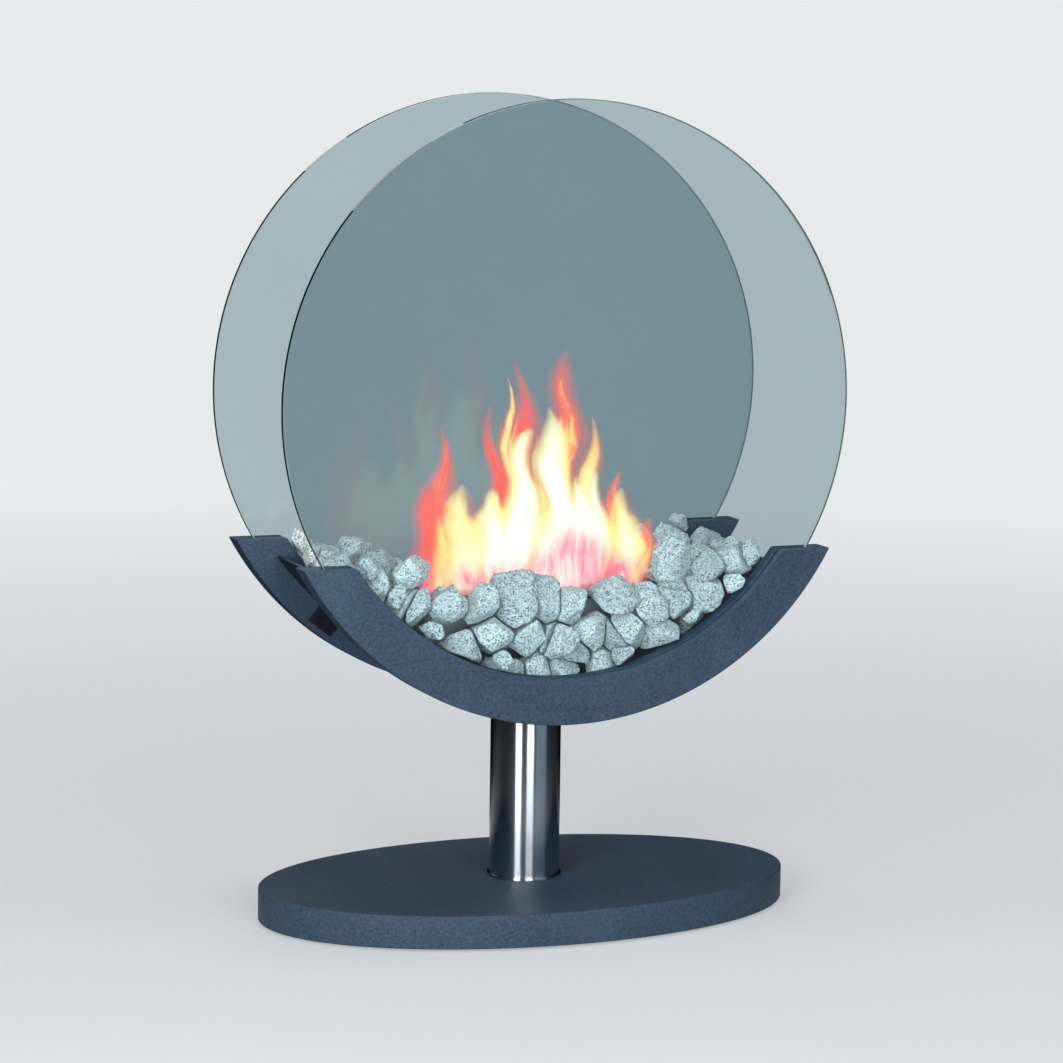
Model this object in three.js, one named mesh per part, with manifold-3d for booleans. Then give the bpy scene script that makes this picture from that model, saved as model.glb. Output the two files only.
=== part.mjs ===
// Bioethanol fireplace: two glass discs held upright in a pair of slotted
// crescents, a stone-filled trough with a burner between them, and a steel
// column on an oval base. Millimetres, +Z up, +X to the right, the front faces -Y.
// The origin is on the floor, under the middle of the base.

import * as THREE from 'three';
import { ConvexGeometry } from 'three/addons/geometries/ConvexGeometry.js';
import { mergeVertices } from 'three/addons/utils/BufferGeometryUtils.js';
import Module from 'manifold-3d';

const wasm = await Module();
wasm.setup();

// ---------------------------------------------------------------- sizes

// Gaps shared by all pieces.
const seatGap = 0.3; // between a piece and the one it rests against
const boreGap = 0.4; // around a rod, screw or spigot in its hole

// Floor pad and oval base plate.
const padThickness = 2;
const padInset = 12;
const baseHalfLength = 235;
const baseHalfDepth = 142;
const baseThickness = 28;
const baseEdgeBreak = 1.5;
const counterboreRadius = 18;
const counterboreDepth = 13;

// Column: foot flange, tube and saddle.
const footFlangeRadius = 32;
const footFlangeThickness = 2.5;
const tubeRadius = 30.15;
const tubeWall = 2;
const tubeLength = 153.5;
const spigotLength = 18;
const saddleRadius = 42;
const saddleRise = 15; // from the tube's end to the trough's lowest line

// Tie rod with a washer and a hexagon nut at each end.
const rodRadius = 5;
const rodEndBelowNut = 1;
const rodEndAboveNut = 3;
const washerRadius = 15;
const washerThickness = 2.5;
const nutRadius = 9.8;
const nutThickness = 8;

// Glass discs and the crescents that hold them.
const glassRadius = 250;
const glassThickness = 6;
const glassGrip = 22.5; // from the glass's edge to the crescents' inner rim
const crescentBelowGlass = 16; // from the glass's edge to the crescents' outer rim
const crescentThickness = 25;
const crescentHalfSpan = 79; // from the middle plane to a crescent's inner face
const crescentTipDrop = 127; // crescents' tips below the discs' centre
const glassLip = 6.5; // crescent wall outside the glass
const sealThickness = 1.5;
const sealEndDrop = 2; // seal ends below the crescent's tips

// Trough between the crescents.
const trayInsideGlass = 6; // trough's underside inside the glass's edge
const trayThickness = 3;
const trayTipDrop = 142; // trough's ends below the discs' centre

// Lugs that join the trough to the crescents, and their screws.
const lugAngle = 38; // degrees from straight down
const lugThickness = 2.5;
const lugWidth = 24;
const lugReach = 20;
const lugDrop = 17;
const lugScrewRadius = 3;
const lugScrewLength = 11;
const lugScrewHeadRadius = 5;
const lugScrewHeadHeight = 3.5;
const lugScrewEdge = 1.5; // from the screw's head to the lug's lower edge
const lugHoleDepth = 9;

// Burner: supports, tank, absorber and lid.
const tankHalfLength = 115;
const tankHalfDepth = 46;
const tankLift = 32; // tank's underside above the trough's lowest line
const tankHeight = 40;
const tankWall = 1.5;
const tankCornerRadius = 8;
const supportOffset = 80;
const supportWidth = 24;
const supportSheet = 2;
const supportHalfDepth = 42;
const absorberHeight = 24;
const lidHalfLength = 120;
const lidHalfDepth = 51;
const lidThickness = 2;
const lidCornerRadius = 10;
const slotHalfLength = 85;
const slotWidth = 34;
const slotEdgeOffset = 4; // from the middle plane to the slot's rear edge

// Sliding damper on the lid, with its guides and knob.
const damperHalfLength = 92;
const damperWidth = 42;
const damperThickness = 2;
const damperOpenOffset = 2; // from the middle plane to the open damper's front edge
const damperCornerRadius = 3;
const guidePlay = 0.6;
const guideWall = 2;
const guideLipReach = 5;
const guideLipThickness = 1.2;
const knobHeadRadius = 6;
const knobHeadHeight = 3.5;
const knobNeckRadius = 3.5;
const knobNeckHeight = 6;
const knobSpigotRadius = 2;
const knobSpigotLength = 1.2;

// Granite stones in the trough.
const stonePitchShare = 0.12; // distance between stones, as a share of the glass's radius
const stoneFirstRowLift = 18; // first row's centres above the trough's lowest line
const stoneRowShare = 0.9; // rise from row to row, as a share of the distance between stones
const stoneRimDepth = 12.5; // outer stones' centres inside the crescents' inner rim
const stoneTrayDepth = 14.5; // inner stones' centres inside the trough's surface
const stoneScatter = 6.5;
const stoneSizeSpread = 4.5;
const stoneGrowth = 4 / 3; // a loose lump's reach, as a share of half the distance between stones
const stoneCorners = 11;
const stoneCornerBias = 0.4; // share of the stretch that goes to a stone's short sides
const bedRowStones = [4, 7, 10]; // stones in the rows of a long bed, from the lowest
const stoneRoughness = 0.35; // spread of the corners' distances, as a share
const stoneStretch = 0.5; // longest a stone is drawn out along one axis, as a share
const stoneWallFacet = 8; // degrees between the flats that a stone has against a round wall
const stoneNeighbourPitches = 2.5; // stones further apart than this many pitches don't meet
const placeChances = 7; // chance numbers kept for each stone's place
const lumpChances = 50; // chance numbers kept for each stone's lump
const firstLumpChance = 1000;
const firstCornerChance = 10; // within a lump's own chance numbers
const bedStoneGrowth = 1.25; // stones of a bed are packed closer than the loose ones
const bedOverlap = 1; // stones of one bed run into each other by this much
const burnerKeepout = 2.5; // from the burner's lid to the stones

// ---------------------------------------------------------------- heights and radii that follow

const baseTopHeight = padThickness + baseThickness;
const tubeBottomHeight = baseTopHeight + footFlangeThickness;
const tubeTopHeight = tubeBottomHeight + tubeLength;
const spigotRadius = tubeRadius - tubeWall - seatGap;
const trayOuterRadius = glassRadius - trayInsideGlass;
const trayInnerRadius = trayOuterRadius - trayThickness;
const trayHalfDepth = crescentHalfSpan - seatGap;
const discCentreHeight = tubeTopHeight + saddleRise + trayOuterRadius;
const trayFloorHeight = discCentreHeight - trayInnerRadius;
const trayTipHeight = discCentreHeight - trayTipDrop;
const crescentOuterRadius = glassRadius + crescentBelowGlass;
const crescentInnerRadius = glassRadius - glassGrip;
const crescentTipHeight = discCentreHeight - crescentTipDrop;
const crescentOuterFace = crescentHalfSpan + crescentThickness;
const glassOuterFace = crescentOuterFace - glassLip - seatGap;
const glassInnerFace = glassOuterFace - glassThickness;
const grooveRadius = glassRadius + sealThickness + 2 * seatGap;
const tankBottomHeight = trayFloorHeight + tankLift;
const lidBottomHeight = tankBottomHeight + tankHeight;
const lidTopHeight = lidBottomHeight + lidThickness;
const damperBottomHeight = lidTopHeight + seatGap;
const damperTopHeight = damperBottomHeight + damperThickness;
const stonePitch = glassRadius * stonePitchShare;
const stoneMeanSize = stonePitch / 2;
const stoneMeanReach = stoneMeanSize * stoneGrowth;
const lugTopRadius = trayOuterRadius + seatGap;
const lugScrewRadiusFromCentre = lugTopRadius + lugDrop - lugScrewHeadRadius - lugScrewEdge;

const arcSteps = 20; // a crescent's arc has twice as many chords
const discSteps = 80;
const turnSteps = 24;
const smallTurnSteps = 12;
const mergeDistance = 1e-4;
const overcut = 1; // how far a cutter runs past the surface it opens

// ---------------------------------------------------------------- finishes

const finish = {
  anthracite: { color: 0x48556a, roughness: 0.62, metalness: 0.3 },
  rubber: { color: 0x161718, roughness: 0.9, metalness: 0 },
  steel: { color: 0xb9bdc0, roughness: 0.28, metalness: 1 },
  blackenedSteel: { color: 0x2b2d30, roughness: 0.55, metalness: 0.8 },
  glass: { color: 0x8fa3a6, roughness: 0.04, metalness: 0, transparent: true, opacity: 0.35 },
  silicone: { color: 0x202326, roughness: 0.7, metalness: 0 },
  fibre: { color: 0xe9e6dc, roughness: 0.95, metalness: 0 },
  granite: { color: 0xb4bab6, roughness: 0.85, metalness: 0 },
};

const fireplace = new THREE.Group();
fireplace.name = 'bioethanol_fireplace';

/** Adds a named piece with its own material to a group. */
function addPiece(group, name, geometry, look) {
  const mesh = new THREE.Mesh(geometry, new THREE.MeshStandardMaterial(look));
  mesh.name = name;
  group.add(mesh);
  return mesh;
}

// ---------------------------------------------------------------- shape helpers

/** Closed solid, ready for cutting and joining, from a closed geometry. */
function toSolid(geometry) {
  const bare = new THREE.BufferGeometry();
  bare.setAttribute('position', geometry.getAttribute('position'));
  bare.setIndex(geometry.getIndex());
  const merged = mergeVertices(bare, mergeDistance);
  return new wasm.Manifold(new wasm.Mesh({
    numProp: 3,
    vertProperties: new Float32Array(merged.getAttribute('position').array),
    triVerts: new Uint32Array(merged.getIndex().array),
  }));
}

/** Geometry of a cut or joined solid. */
function toGeometry(solid) {
  const { vertProperties, triVerts } = solid.getMesh();
  const geometry = new THREE.BufferGeometry();
  geometry.setAttribute('position', new THREE.BufferAttribute(vertProperties, 3));
  geometry.setIndex(new THREE.BufferAttribute(triVerts, 1));
  return geometry;
}

/** Geometry with cutters taken out of it. */
function cut(geometry, ...cutters) {
  return toGeometry(cutters.reduce((rest, cutter) => rest.subtract(toSolid(cutter)), toSolid(geometry)));
}

/** Geometry with others joined to it. */
function join(geometry, ...others) {
  return toGeometry(others.reduce((whole, other) => whole.add(toSolid(other)), toSolid(geometry)));
}

/** Prism of an outline in the XY plane, from one height to another. */
function upright(shape, from, to, steps = 4) {
  const depth = to - from;
  const geometry = new THREE.ExtrudeGeometry(shape, { depth, bevelEnabled: false, curveSegments: steps });
  return geometry.translate(0, 0, from);
}

/** Prism of an outline in the XZ plane, from one Y to a larger one. */
function across(shape, from, to, steps = arcSteps) {
  const depth = to - from;
  const geometry = new THREE.ExtrudeGeometry(shape, { depth, bevelEnabled: false, curveSegments: steps });
  return geometry.rotateX(Math.PI / 2).translate(0, to, 0);
}

/** Turned piece on the Z axis from a profile of [radius, height] points, outer side upwards. */
function turned(profile, steps = turnSteps) {
  const points = profile.map(([radius, height]) => new THREE.Vector2(radius, height));
  return new THREE.LatheGeometry(points, steps).rotateX(Math.PI / 2);
}

/** Turned ring on the Z axis. */
function ring(innerRadius, outerRadius, from, to, steps = turnSteps) {
  return turned([
    [innerRadius, from],
    [outerRadius, from],
    [outerRadius, to],
    [innerRadius, to],
    [innerRadius, from],
  ], steps);
}

/** Round bar on the Z axis. */
function bar(radius, from, to, steps = smallTurnSteps) {
  return turned([[0, from], [radius, from], [radius, to], [0, to]], steps);
}

/** Rectangle with rounded corners, centred on a point. */
function roundedRectangle(halfLength, halfDepth, corner, middleY = 0) {
  const x = halfLength - corner;
  const y = halfDepth - corner;
  const shape = new THREE.Shape();
  shape.absarc(x, middleY + y, corner, 0, Math.PI / 2, false);
  shape.absarc(-x, middleY + y, corner, Math.PI / 2, Math.PI, false);
  shape.absarc(-x, middleY - y, corner, Math.PI, 1.5 * Math.PI, false);
  shape.absarc(x, middleY - y, corner, 1.5 * Math.PI, 2 * Math.PI, false);
  return shape;
}

/** Outline of a band round the disc centre, cut level at its two tips. */
function bandOutline(outerRadius, innerRadius, tipHeight) {
  const drop = discCentreHeight - tipHeight;
  const outerAngle = Math.asin(drop / outerRadius);
  const innerAngle = Math.asin(drop / innerRadius);
  const shape = new THREE.Shape();
  shape.absarc(0, discCentreHeight, outerRadius, Math.PI + outerAngle, 2 * Math.PI - outerAngle, false);
  shape.absarc(0, discCentreHeight, innerRadius, 2 * Math.PI - innerAngle, Math.PI + innerAngle, true);
  return shape;
}

/** Disc on the glass axis, from one Y to a larger one. */
function disc(radius, from, to, steps = discSteps) {
  const geometry = new THREE.CylinderGeometry(radius, radius, to - from, steps);
  return geometry.translate(0, (from + to) / 2, discCentreHeight);
}

/** Height of the trough's inner surface at a distance from the middle. */
function trayHeightAt(x) {
  return discCentreHeight - Math.sqrt(trayInnerRadius ** 2 - x ** 2);
}

// ---------------------------------------------------------------- base and column

/** Outline of the oval base, drawn in by an inset. */
function ovalOutline(inset) {
  const shape = new THREE.Shape();
  shape.absellipse(0, 0, baseHalfLength - inset, baseHalfDepth - inset, 0, 2 * Math.PI, false);
  return shape;
}

function makeBase() {
  const group = new THREE.Group();
  addPiece(group, 'floor_pad', upright(ovalOutline(padInset), 0, padThickness, arcSteps), finish.rubber);

  const plate = new THREE.ExtrudeGeometry(ovalOutline(0), {
    depth: baseThickness - 2 * baseEdgeBreak,
    curveSegments: discSteps / 2,
    bevelThickness: baseEdgeBreak,
    bevelSize: baseEdgeBreak,
    bevelOffset: -baseEdgeBreak,
    bevelSegments: 1,
  });
  plate.translate(0, 0, padThickness + baseEdgeBreak);
  const counterboreTop = padThickness + counterboreDepth;
  const counterbore = bar(counterboreRadius, padThickness - overcut, counterboreTop, turnSteps);
  const rodHole = bar(rodRadius + boreGap, counterboreTop - overcut, baseTopHeight + overcut);
  addPiece(group, 'base_plate', cut(plate, counterbore, rodHole), finish.anthracite);
  return group;
}

function makeColumn() {
  const group = new THREE.Group();
  const bore = rodRadius + boreGap;
  addPiece(group, 'column_foot', turned([
    [bore, baseTopHeight],
    [footFlangeRadius, baseTopHeight],
    [footFlangeRadius, tubeBottomHeight],
    [spigotRadius, tubeBottomHeight],
    [spigotRadius, tubeBottomHeight + spigotLength],
    [bore, tubeBottomHeight + spigotLength],
    [bore, baseTopHeight],
  ]), finish.steel);

  const tube = ring(tubeRadius - tubeWall, tubeRadius, tubeBottomHeight, tubeTopHeight, 2 * turnSteps);
  addPiece(group, 'column_tube', tube, finish.steel);

  // The saddle's blank is cut to the trough's round underside.
  const saddleBlank = turned([
    [bore, tubeTopHeight - spigotLength],
    [spigotRadius, tubeTopHeight - spigotLength],
    [spigotRadius, tubeTopHeight],
    [saddleRadius, tubeTopHeight],
    [saddleRadius, trayFloorHeight + saddleRadius],
    [bore, trayFloorHeight + saddleRadius],
    [bore, tubeTopHeight - spigotLength],
  ]);
  const seat = disc(trayOuterRadius + seatGap, -2 * saddleRadius, 2 * saddleRadius, 2 * discSteps);
  addPiece(group, 'column_saddle', cut(saddleBlank, seat), finish.blackenedSteel);
  return group;
}

/** Hexagon nut on the Z axis, its top or bottom face at a height. */
function nut(from) {
  const shape = new THREE.Shape();
  for (let corner = 0; corner < 6; corner += 1) {
    const angle = (corner * Math.PI) / 3;
    const point = [nutRadius * Math.cos(angle), nutRadius * Math.sin(angle)];
    if (corner === 0) {
      shape.moveTo(...point);
    } else {
      shape.lineTo(...point);
    }
  }
  const hole = new THREE.Path();
  hole.absarc(0, 0, rodRadius + seatGap, 0, 2 * Math.PI, true);
  shape.holes.push(hole);
  return upright(shape, from, from + nutThickness, smallTurnSteps / 2);
}

function makeTieRod() {
  const group = new THREE.Group();
  const washerBore = rodRadius + boreGap;
  const lowerWasherTop = padThickness + counterboreDepth;
  const lowerNutTop = lowerWasherTop - washerThickness;
  const lowerNutBottom = lowerNutTop - nutThickness;
  const upperWasherBottom = trayHeightAt(washerRadius) + seatGap;
  const upperNutBottom = upperWasherBottom + washerThickness;
  const rodBottom = lowerNutBottom - rodEndBelowNut;
  const rodTop = upperNutBottom + nutThickness + rodEndAboveNut;
  addPiece(group, 'tie_rod', bar(rodRadius, rodBottom, rodTop), finish.steel);
  const lowerWasher = ring(washerBore, washerRadius, lowerNutTop, lowerWasherTop);
  addPiece(group, 'lower_washer', lowerWasher, finish.steel);
  addPiece(group, 'lower_nut', nut(lowerNutBottom), finish.steel);
  const upperWasher = ring(washerBore, washerRadius, upperWasherBottom, upperNutBottom);
  addPiece(group, 'upper_washer', upperWasher, finish.steel);
  addPiece(group, 'upper_nut', nut(upperNutBottom), finish.steel);
  return group;
}

// ---------------------------------------------------------------- trough, crescents and glass

function makeTray() {
  const outline = bandOutline(trayOuterRadius, trayInnerRadius, trayTipHeight);
  const underside = trayFloorHeight - trayThickness;
  const rodHole = bar(rodRadius + boreGap, underside - overcut, trayFloorHeight + overcut);
  return cut(across(outline, -trayHalfDepth, trayHalfDepth), rodHole);
}

/** Span between two distances from the middle plane, on the front (-1) or rear (1) side. */
function spanOnSide(side, near, far) {
  return side < 0 ? [-far, -near] : [near, far];
}

/** Turns a geometry made straight below the glass axis to an angle round that axis. */
function swingRoundDisc(geometry, degrees) {
  return geometry.rotateY(THREE.MathUtils.degToRad(degrees)).translate(0, 0, discCentreHeight);
}

/** Bar parallel to Y, straight below the glass axis, between two distances on one side. */
function crossBar(radius, side, near, far) {
  const [from, to] = spanOnSide(side, near, far);
  const round = new THREE.CylinderGeometry(radius, radius, to - from, smallTurnSteps);
  return round.translate(0, (from + to) / 2, -lugScrewRadiusFromCentre);
}

function makeSide(sideName, side) {
  const group = new THREE.Group();
  const body = across(
    bandOutline(crescentOuterRadius, crescentInnerRadius, crescentTipHeight),
    ...spanOnSide(side, crescentHalfSpan, crescentOuterFace),
  );
  const grooveSpan = spanOnSide(side, glassInnerFace - seatGap, glassOuterFace + seatGap);
  const cutters = [disc(grooveRadius, ...grooveSpan)];
  for (const angle of [-lugAngle, lugAngle]) {
    const holeEnd = crescentHalfSpan + lugHoleDepth;
    const hole = crossBar(lugScrewRadius + boreGap, side, crescentHalfSpan - overcut, holeEnd);
    cutters.push(swingRoundDisc(hole, angle));
  }
  addPiece(group, `${sideName}_crescent`, cut(body, ...cutters), finish.anthracite);

  const sealOuter = grooveRadius - seatGap;
  const sealOutline = bandOutline(sealOuter, sealOuter - sealThickness, crescentTipHeight - sealEndDrop);
  const seal = across(sealOutline, ...spanOnSide(side, glassInnerFace, glassOuterFace));
  addPiece(group, `${sideName}_seal`, seal, finish.silicone);

  const glass = disc(glassRadius, ...spanOnSide(side, glassInnerFace, glassOuterFace));
  addPiece(group, `${sideName}_glass`, glass, finish.glass);
  return group;
}

/** Angle lug straight below the glass axis, between the trough and one crescent. */
function lugBlank(side) {
  const outerY = crescentHalfSpan - seatGap;
  const shape = new THREE.Shape([
    [outerY, -lugTopRadius],
    [outerY, -lugTopRadius - lugDrop],
    [outerY - lugThickness, -lugTopRadius - lugDrop],
    [outerY - lugThickness, -lugTopRadius - lugThickness],
    [outerY - lugReach, -lugTopRadius - lugThickness],
    [outerY - lugReach, -lugTopRadius],
  ].map(([y, z]) => new THREE.Vector2(side * y, z)));
  const geometry = new THREE.ExtrudeGeometry(shape, { depth: lugWidth, bevelEnabled: false });
  const turn = new THREE.Matrix4().makeBasis(
    new THREE.Vector3(0, 1, 0),
    new THREE.Vector3(0, 0, 1),
    new THREE.Vector3(1, 0, 0),
  );
  geometry.translate(0, 0, -lugWidth / 2).applyMatrix4(turn);
  const hole = crossBar(lugScrewRadius + boreGap, side, outerY - lugThickness - overcut, outerY + overcut);
  return cut(geometry, hole);
}

/** Screw that runs from inside through a lug into one crescent. */
function lugScrew(side) {
  const headSeat = crescentHalfSpan - 2 * seatGap - lugThickness;
  const profile = [
    [0, headSeat - lugScrewHeadHeight],
    [lugScrewHeadRadius, headSeat - lugScrewHeadHeight],
    [lugScrewHeadRadius, headSeat],
    [lugScrewRadius, headSeat],
    [lugScrewRadius, headSeat + lugScrewLength],
    [0, headSeat + lugScrewLength],
  ];
  const screw = turned(profile, smallTurnSteps);
  return screw.rotateX((-side * Math.PI) / 2).translate(0, 0, -lugScrewRadiusFromCentre);
}

function makeLugs() {
  const group = new THREE.Group();
  for (const [sideName, side] of [['front', -1], ['rear', 1]]) {
    for (const [endName, angle] of [['left', lugAngle], ['right', -lugAngle]]) {
      const place = `${sideName}_${endName}`;
      addPiece(group, `${place}_lug`, swingRoundDisc(lugBlank(side), angle), finish.blackenedSteel);
      addPiece(group, `${place}_lug_screw`, swingRoundDisc(lugScrew(side), angle), finish.steel);
    }
  }
  return group;
}

// ---------------------------------------------------------------- burner

/** Inverted channel across the trough that carries the tank. */
function burnerSupport(middleX) {
  const left = middleX - supportWidth / 2;
  const right = middleX + supportWidth / 2;
  const top = tankBottomHeight - seatGap;
  const outline = [
    [left, trayHeightAt(left) + seatGap],
    [left + supportSheet, trayHeightAt(left + supportSheet) + seatGap],
    [left + supportSheet, top - supportSheet],
    [right - supportSheet, top - supportSheet],
    [right - supportSheet, trayHeightAt(right - supportSheet) + seatGap],
    [right, trayHeightAt(right) + seatGap],
    [right, top],
    [left, top],
  ].map(([x, z]) => new THREE.Vector2(x, z));
  return across(new THREE.Shape(outline), -supportHalfDepth, supportHalfDepth);
}

/** Lid with its flame slot and the two guides that hold the damper down. */
function burnerLid() {
  const plate = roundedRectangle(lidHalfLength, lidHalfDepth, lidCornerRadius);
  const slotMiddle = -slotEdgeOffset - slotWidth / 2;
  plate.holes.push(roundedRectangle(slotHalfLength, slotWidth / 2, damperCornerRadius, slotMiddle));
  const guides = [];
  const lipBottom = damperTopHeight + seatGap;
  const lipTop = lipBottom + guideLipThickness;
  const guideHalfDepth = lidHalfDepth - lidCornerRadius / 2;
  for (const end of [-1, 1]) {
    const inner = damperHalfLength + guidePlay;
    const outline = [
      [inner, lidTopHeight - lidThickness / 2],
      [inner + guideWall, lidTopHeight - lidThickness / 2],
      [inner + guideWall, lipTop],
      [inner - guideLipReach, lipTop],
      [inner - guideLipReach, lipBottom],
      [inner, lipBottom],
    ].map(([x, z]) => new THREE.Vector2(end * x, z));
    guides.push(across(new THREE.Shape(outline), -guideHalfDepth, guideHalfDepth));
  }
  return join(upright(plate, lidBottomHeight, lidTopHeight), ...guides);
}

function makeBurner() {
  const group = new THREE.Group();
  addPiece(group, 'left_burner_support', burnerSupport(-supportOffset), finish.blackenedSteel);
  addPiece(group, 'right_burner_support', burnerSupport(supportOffset), finish.blackenedSteel);

  const tankOutline = roundedRectangle(tankHalfLength, tankHalfDepth, tankCornerRadius);
  const tankBody = upright(tankOutline, tankBottomHeight, lidBottomHeight);
  const innerLength = tankHalfLength - tankWall;
  const innerDepth = tankHalfDepth - tankWall;
  const innerCorner = tankCornerRadius - tankWall;
  const tankFloor = tankBottomHeight + tankWall;
  const inside = upright(roundedRectangle(innerLength, innerDepth, innerCorner), tankFloor, lidTopHeight);
  addPiece(group, 'burner_tank', cut(tankBody, inside), finish.steel);

  const absorberOutline = roundedRectangle(innerLength - seatGap, innerDepth - seatGap, innerCorner);
  const absorber = upright(absorberOutline, tankFloor, tankFloor + absorberHeight);
  addPiece(group, 'absorber_block', absorber, finish.fibre);
  addPiece(group, 'burner_lid', burnerLid(), finish.steel);
  return group;
}

function makeDamper() {
  const group = new THREE.Group();
  const middleY = damperOpenOffset + damperWidth / 2;
  const outline = roundedRectangle(damperHalfLength, damperWidth / 2, damperCornerRadius, middleY);
  const spigotHole = new THREE.Path();
  spigotHole.absarc(0, middleY, knobSpigotRadius + boreGap, 0, 2 * Math.PI, true);
  outline.holes.push(spigotHole);
  const plate = upright(outline, damperBottomHeight, damperTopHeight, smallTurnSteps / 2);
  addPiece(group, 'damper_plate', plate, finish.steel);

  const neckTop = damperTopHeight + knobNeckHeight;
  const knob = turned([
    [0, damperTopHeight - knobSpigotLength],
    [knobSpigotRadius, damperTopHeight - knobSpigotLength],
    [knobSpigotRadius, damperTopHeight],
    [knobNeckRadius, damperTopHeight],
    [knobNeckRadius, neckTop],
    [knobHeadRadius, neckTop],
    [knobHeadRadius, neckTop + knobHeadHeight],
    [0, neckTop + knobHeadHeight],
  ], smallTurnSteps);
  addPiece(group, 'damper_knob', knob.translate(0, middleY, 0), finish.steel);
  return group;
}

// ---------------------------------------------------------------- stones

/** Repeatable number from 0 to 1 for a whole number. */
function chance(number) {
  const wave = Math.sin(number * 12.9898 + 4.1414) * 43758.5453;
  return wave - Math.floor(wave);
}

/** Half the width of a level line inside a circle round the disc centre. */
function halfChord(radius, height) {
  return Math.sqrt(radius ** 2 - (discCentreHeight - height) ** 2);
}

/** Even places from one end to the other. */
function spread(from, to, count) {
  return Array.from({ length: count }, (_, step) => from + ((to - from) * step) / (count - 1));
}

/** Centres of all stones: rows one above another, in layers from front to rear. */
function stoneCentres() {
  const rowHeight = (row) => trayFloorHeight + stoneFirstRowLift + row * stoneRowShare * stonePitch;
  const rimRadius = crescentInnerRadius - stoneRimDepth;
  const trayRadius = trayInnerRadius - stoneTrayDepth;
  const burnerEdge = lidHalfLength + burnerKeepout;
  const outerY = (lidHalfDepth + burnerKeepout + glassInnerFace) / 2;
  const innerY = (lidHalfDepth + burnerKeepout + trayHalfDepth) / 2;
  const centres = [];
  for (const [bed, side] of [['front', -1], ['rear', 1]]) {
    bedRowStones.forEach((count, row) => {
      const inTrough = row === 0;
      const end = halfChord(inTrough ? trayRadius : rimRadius, rowHeight(row));
      for (const x of spread(-end, end, count)) {
        centres.push({ bed, inTrough, at: [x, side * (inTrough ? innerY : outerY), rowHeight(row)] });
      }
    });
    const topRow = rowHeight(bedRowStones.length);
    const high = halfChord(rimRadius, topRow);
    for (const x of [-high, stonePitch - high, high - 2 * stonePitch, high - stonePitch, high]) {
      centres.push({ bed: null, inTrough: false, at: [x, side * outerY, topRow] });
    }
  }
  for (const [bed, end] of [['left', -1], ['right', 1]]) {
    for (const y of [-stonePitch, 0, stonePitch]) {
      for (const row of [1, 2]) {
        const middle = (burnerEdge + halfChord(trayInnerRadius, rowHeight(row))) / 2;
        centres.push({ bed, inTrough: true, at: [end * middle, y, rowHeight(row)] });
      }
      const topRow = rowHeight(bedRowStones.length);
      const high = halfChord(trayRadius, topRow);
      for (const x of [high - stonePitch, high]) {
        centres.push({ bed: null, inTrough: true, at: [end * x, y, topRow] });
      }
    }
  }
  return centres;
}

/** Stones with a scattered place and a size each. */
function scatteredStones() {
  return stoneCentres().map((stone, number) => {
    const swing = (place) => 2 * chance(placeChances * number + place) - 1;
    const shift = (axis) => stoneScatter * swing(axis);
    const [x, y, z] = stone.at;
    return {
      ...stone,
      number,
      centre: new THREE.Vector3(x + shift(0), y + shift(1) / 2, z + shift(2)),
      size: stoneMeanSize + stoneSizeSpread * swing(3),
    };
  });
}

/** Rough lump round a stone's centre: corners spread over a ball, pushed in or out and stretched. */
function roughLump(stone) {
  const start = firstLumpChance + lumpChances * stone.number;
  const stretch = [0, 1, 2].map((axis) => 1 + stoneStretch * (chance(start + axis) - stoneCornerBias));
  const tilt = Math.PI * chance(start + 3);
  const roll = Math.PI * chance(start + 4);
  const goldenAngle = Math.PI * (3 - Math.sqrt(5));
  const meanReach = stone.bed === null ? stoneMeanReach : stoneMeanReach * bedStoneGrowth;
  const corners = [];
  for (let corner = 0; corner < stoneCorners; corner += 1) {
    const level = 1 - (2 * corner + 1) / stoneCorners;
    const girth = Math.sqrt(1 - level ** 2);
    const turn = corner * goldenAngle;
    const push = chance(start + firstCornerChance + corner) - 0.5;
    const reach = meanReach * (1 + stoneRoughness * push);
    const point = new THREE.Vector3(
      girth * Math.cos(turn) * stretch[0],
      girth * Math.sin(turn) * stretch[1],
      level * stretch[2],
    );
    point.multiplyScalar(reach);
    point.applyAxisAngle(new THREE.Vector3(0, 0, 1), tilt);
    point.applyAxisAngle(new THREE.Vector3(1, 0, 0), roll);
    corners.push(point.add(stone.centre));
  }
  return toSolid(new ConvexGeometry(corners));
}

/** Planes that hold a stone inside the trough, the glass and the burner's surroundings. */
function wallPlanes(stone) {
  const planes = [];
  const wallRadius = stone.inTrough ? trayInnerRadius : crescentInnerRadius;
  const facetTurn = THREE.MathUtils.degToRad(stoneWallFacet);
  const limit = wallRadius * Math.cos(facetTurn / 2) - seatGap;
  const around = Math.atan2(stone.centre.z - discCentreHeight, stone.centre.x);
  for (let facet = -2; facet <= 2; facet += 1) {
    const angle = around + facet * facetTurn;
    const normal = new THREE.Vector3(Math.cos(angle), 0, Math.sin(angle));
    planes.push({ normal, offset: limit + normal.z * discCentreHeight });
  }
  const side = Math.sign(stone.centre.y) || 1;
  const sideLimit = stone.inTrough ? trayHalfDepth : glassInnerFace;
  planes.push({ normal: new THREE.Vector3(0, side, 0), offset: sideLimit - 2 * seatGap });
  const freeLength = lidHalfLength + burnerKeepout;
  const freeDepth = lidHalfDepth + burnerKeepout;
  if (Math.abs(stone.centre.y) > freeDepth) {
    planes.push({ normal: new THREE.Vector3(0, -side, 0), offset: -freeDepth });
  } else {
    const end = Math.sign(stone.centre.x);
    planes.push({ normal: new THREE.Vector3(-end, 0, 0), offset: -freeLength });
  }
  return planes;
}

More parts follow.
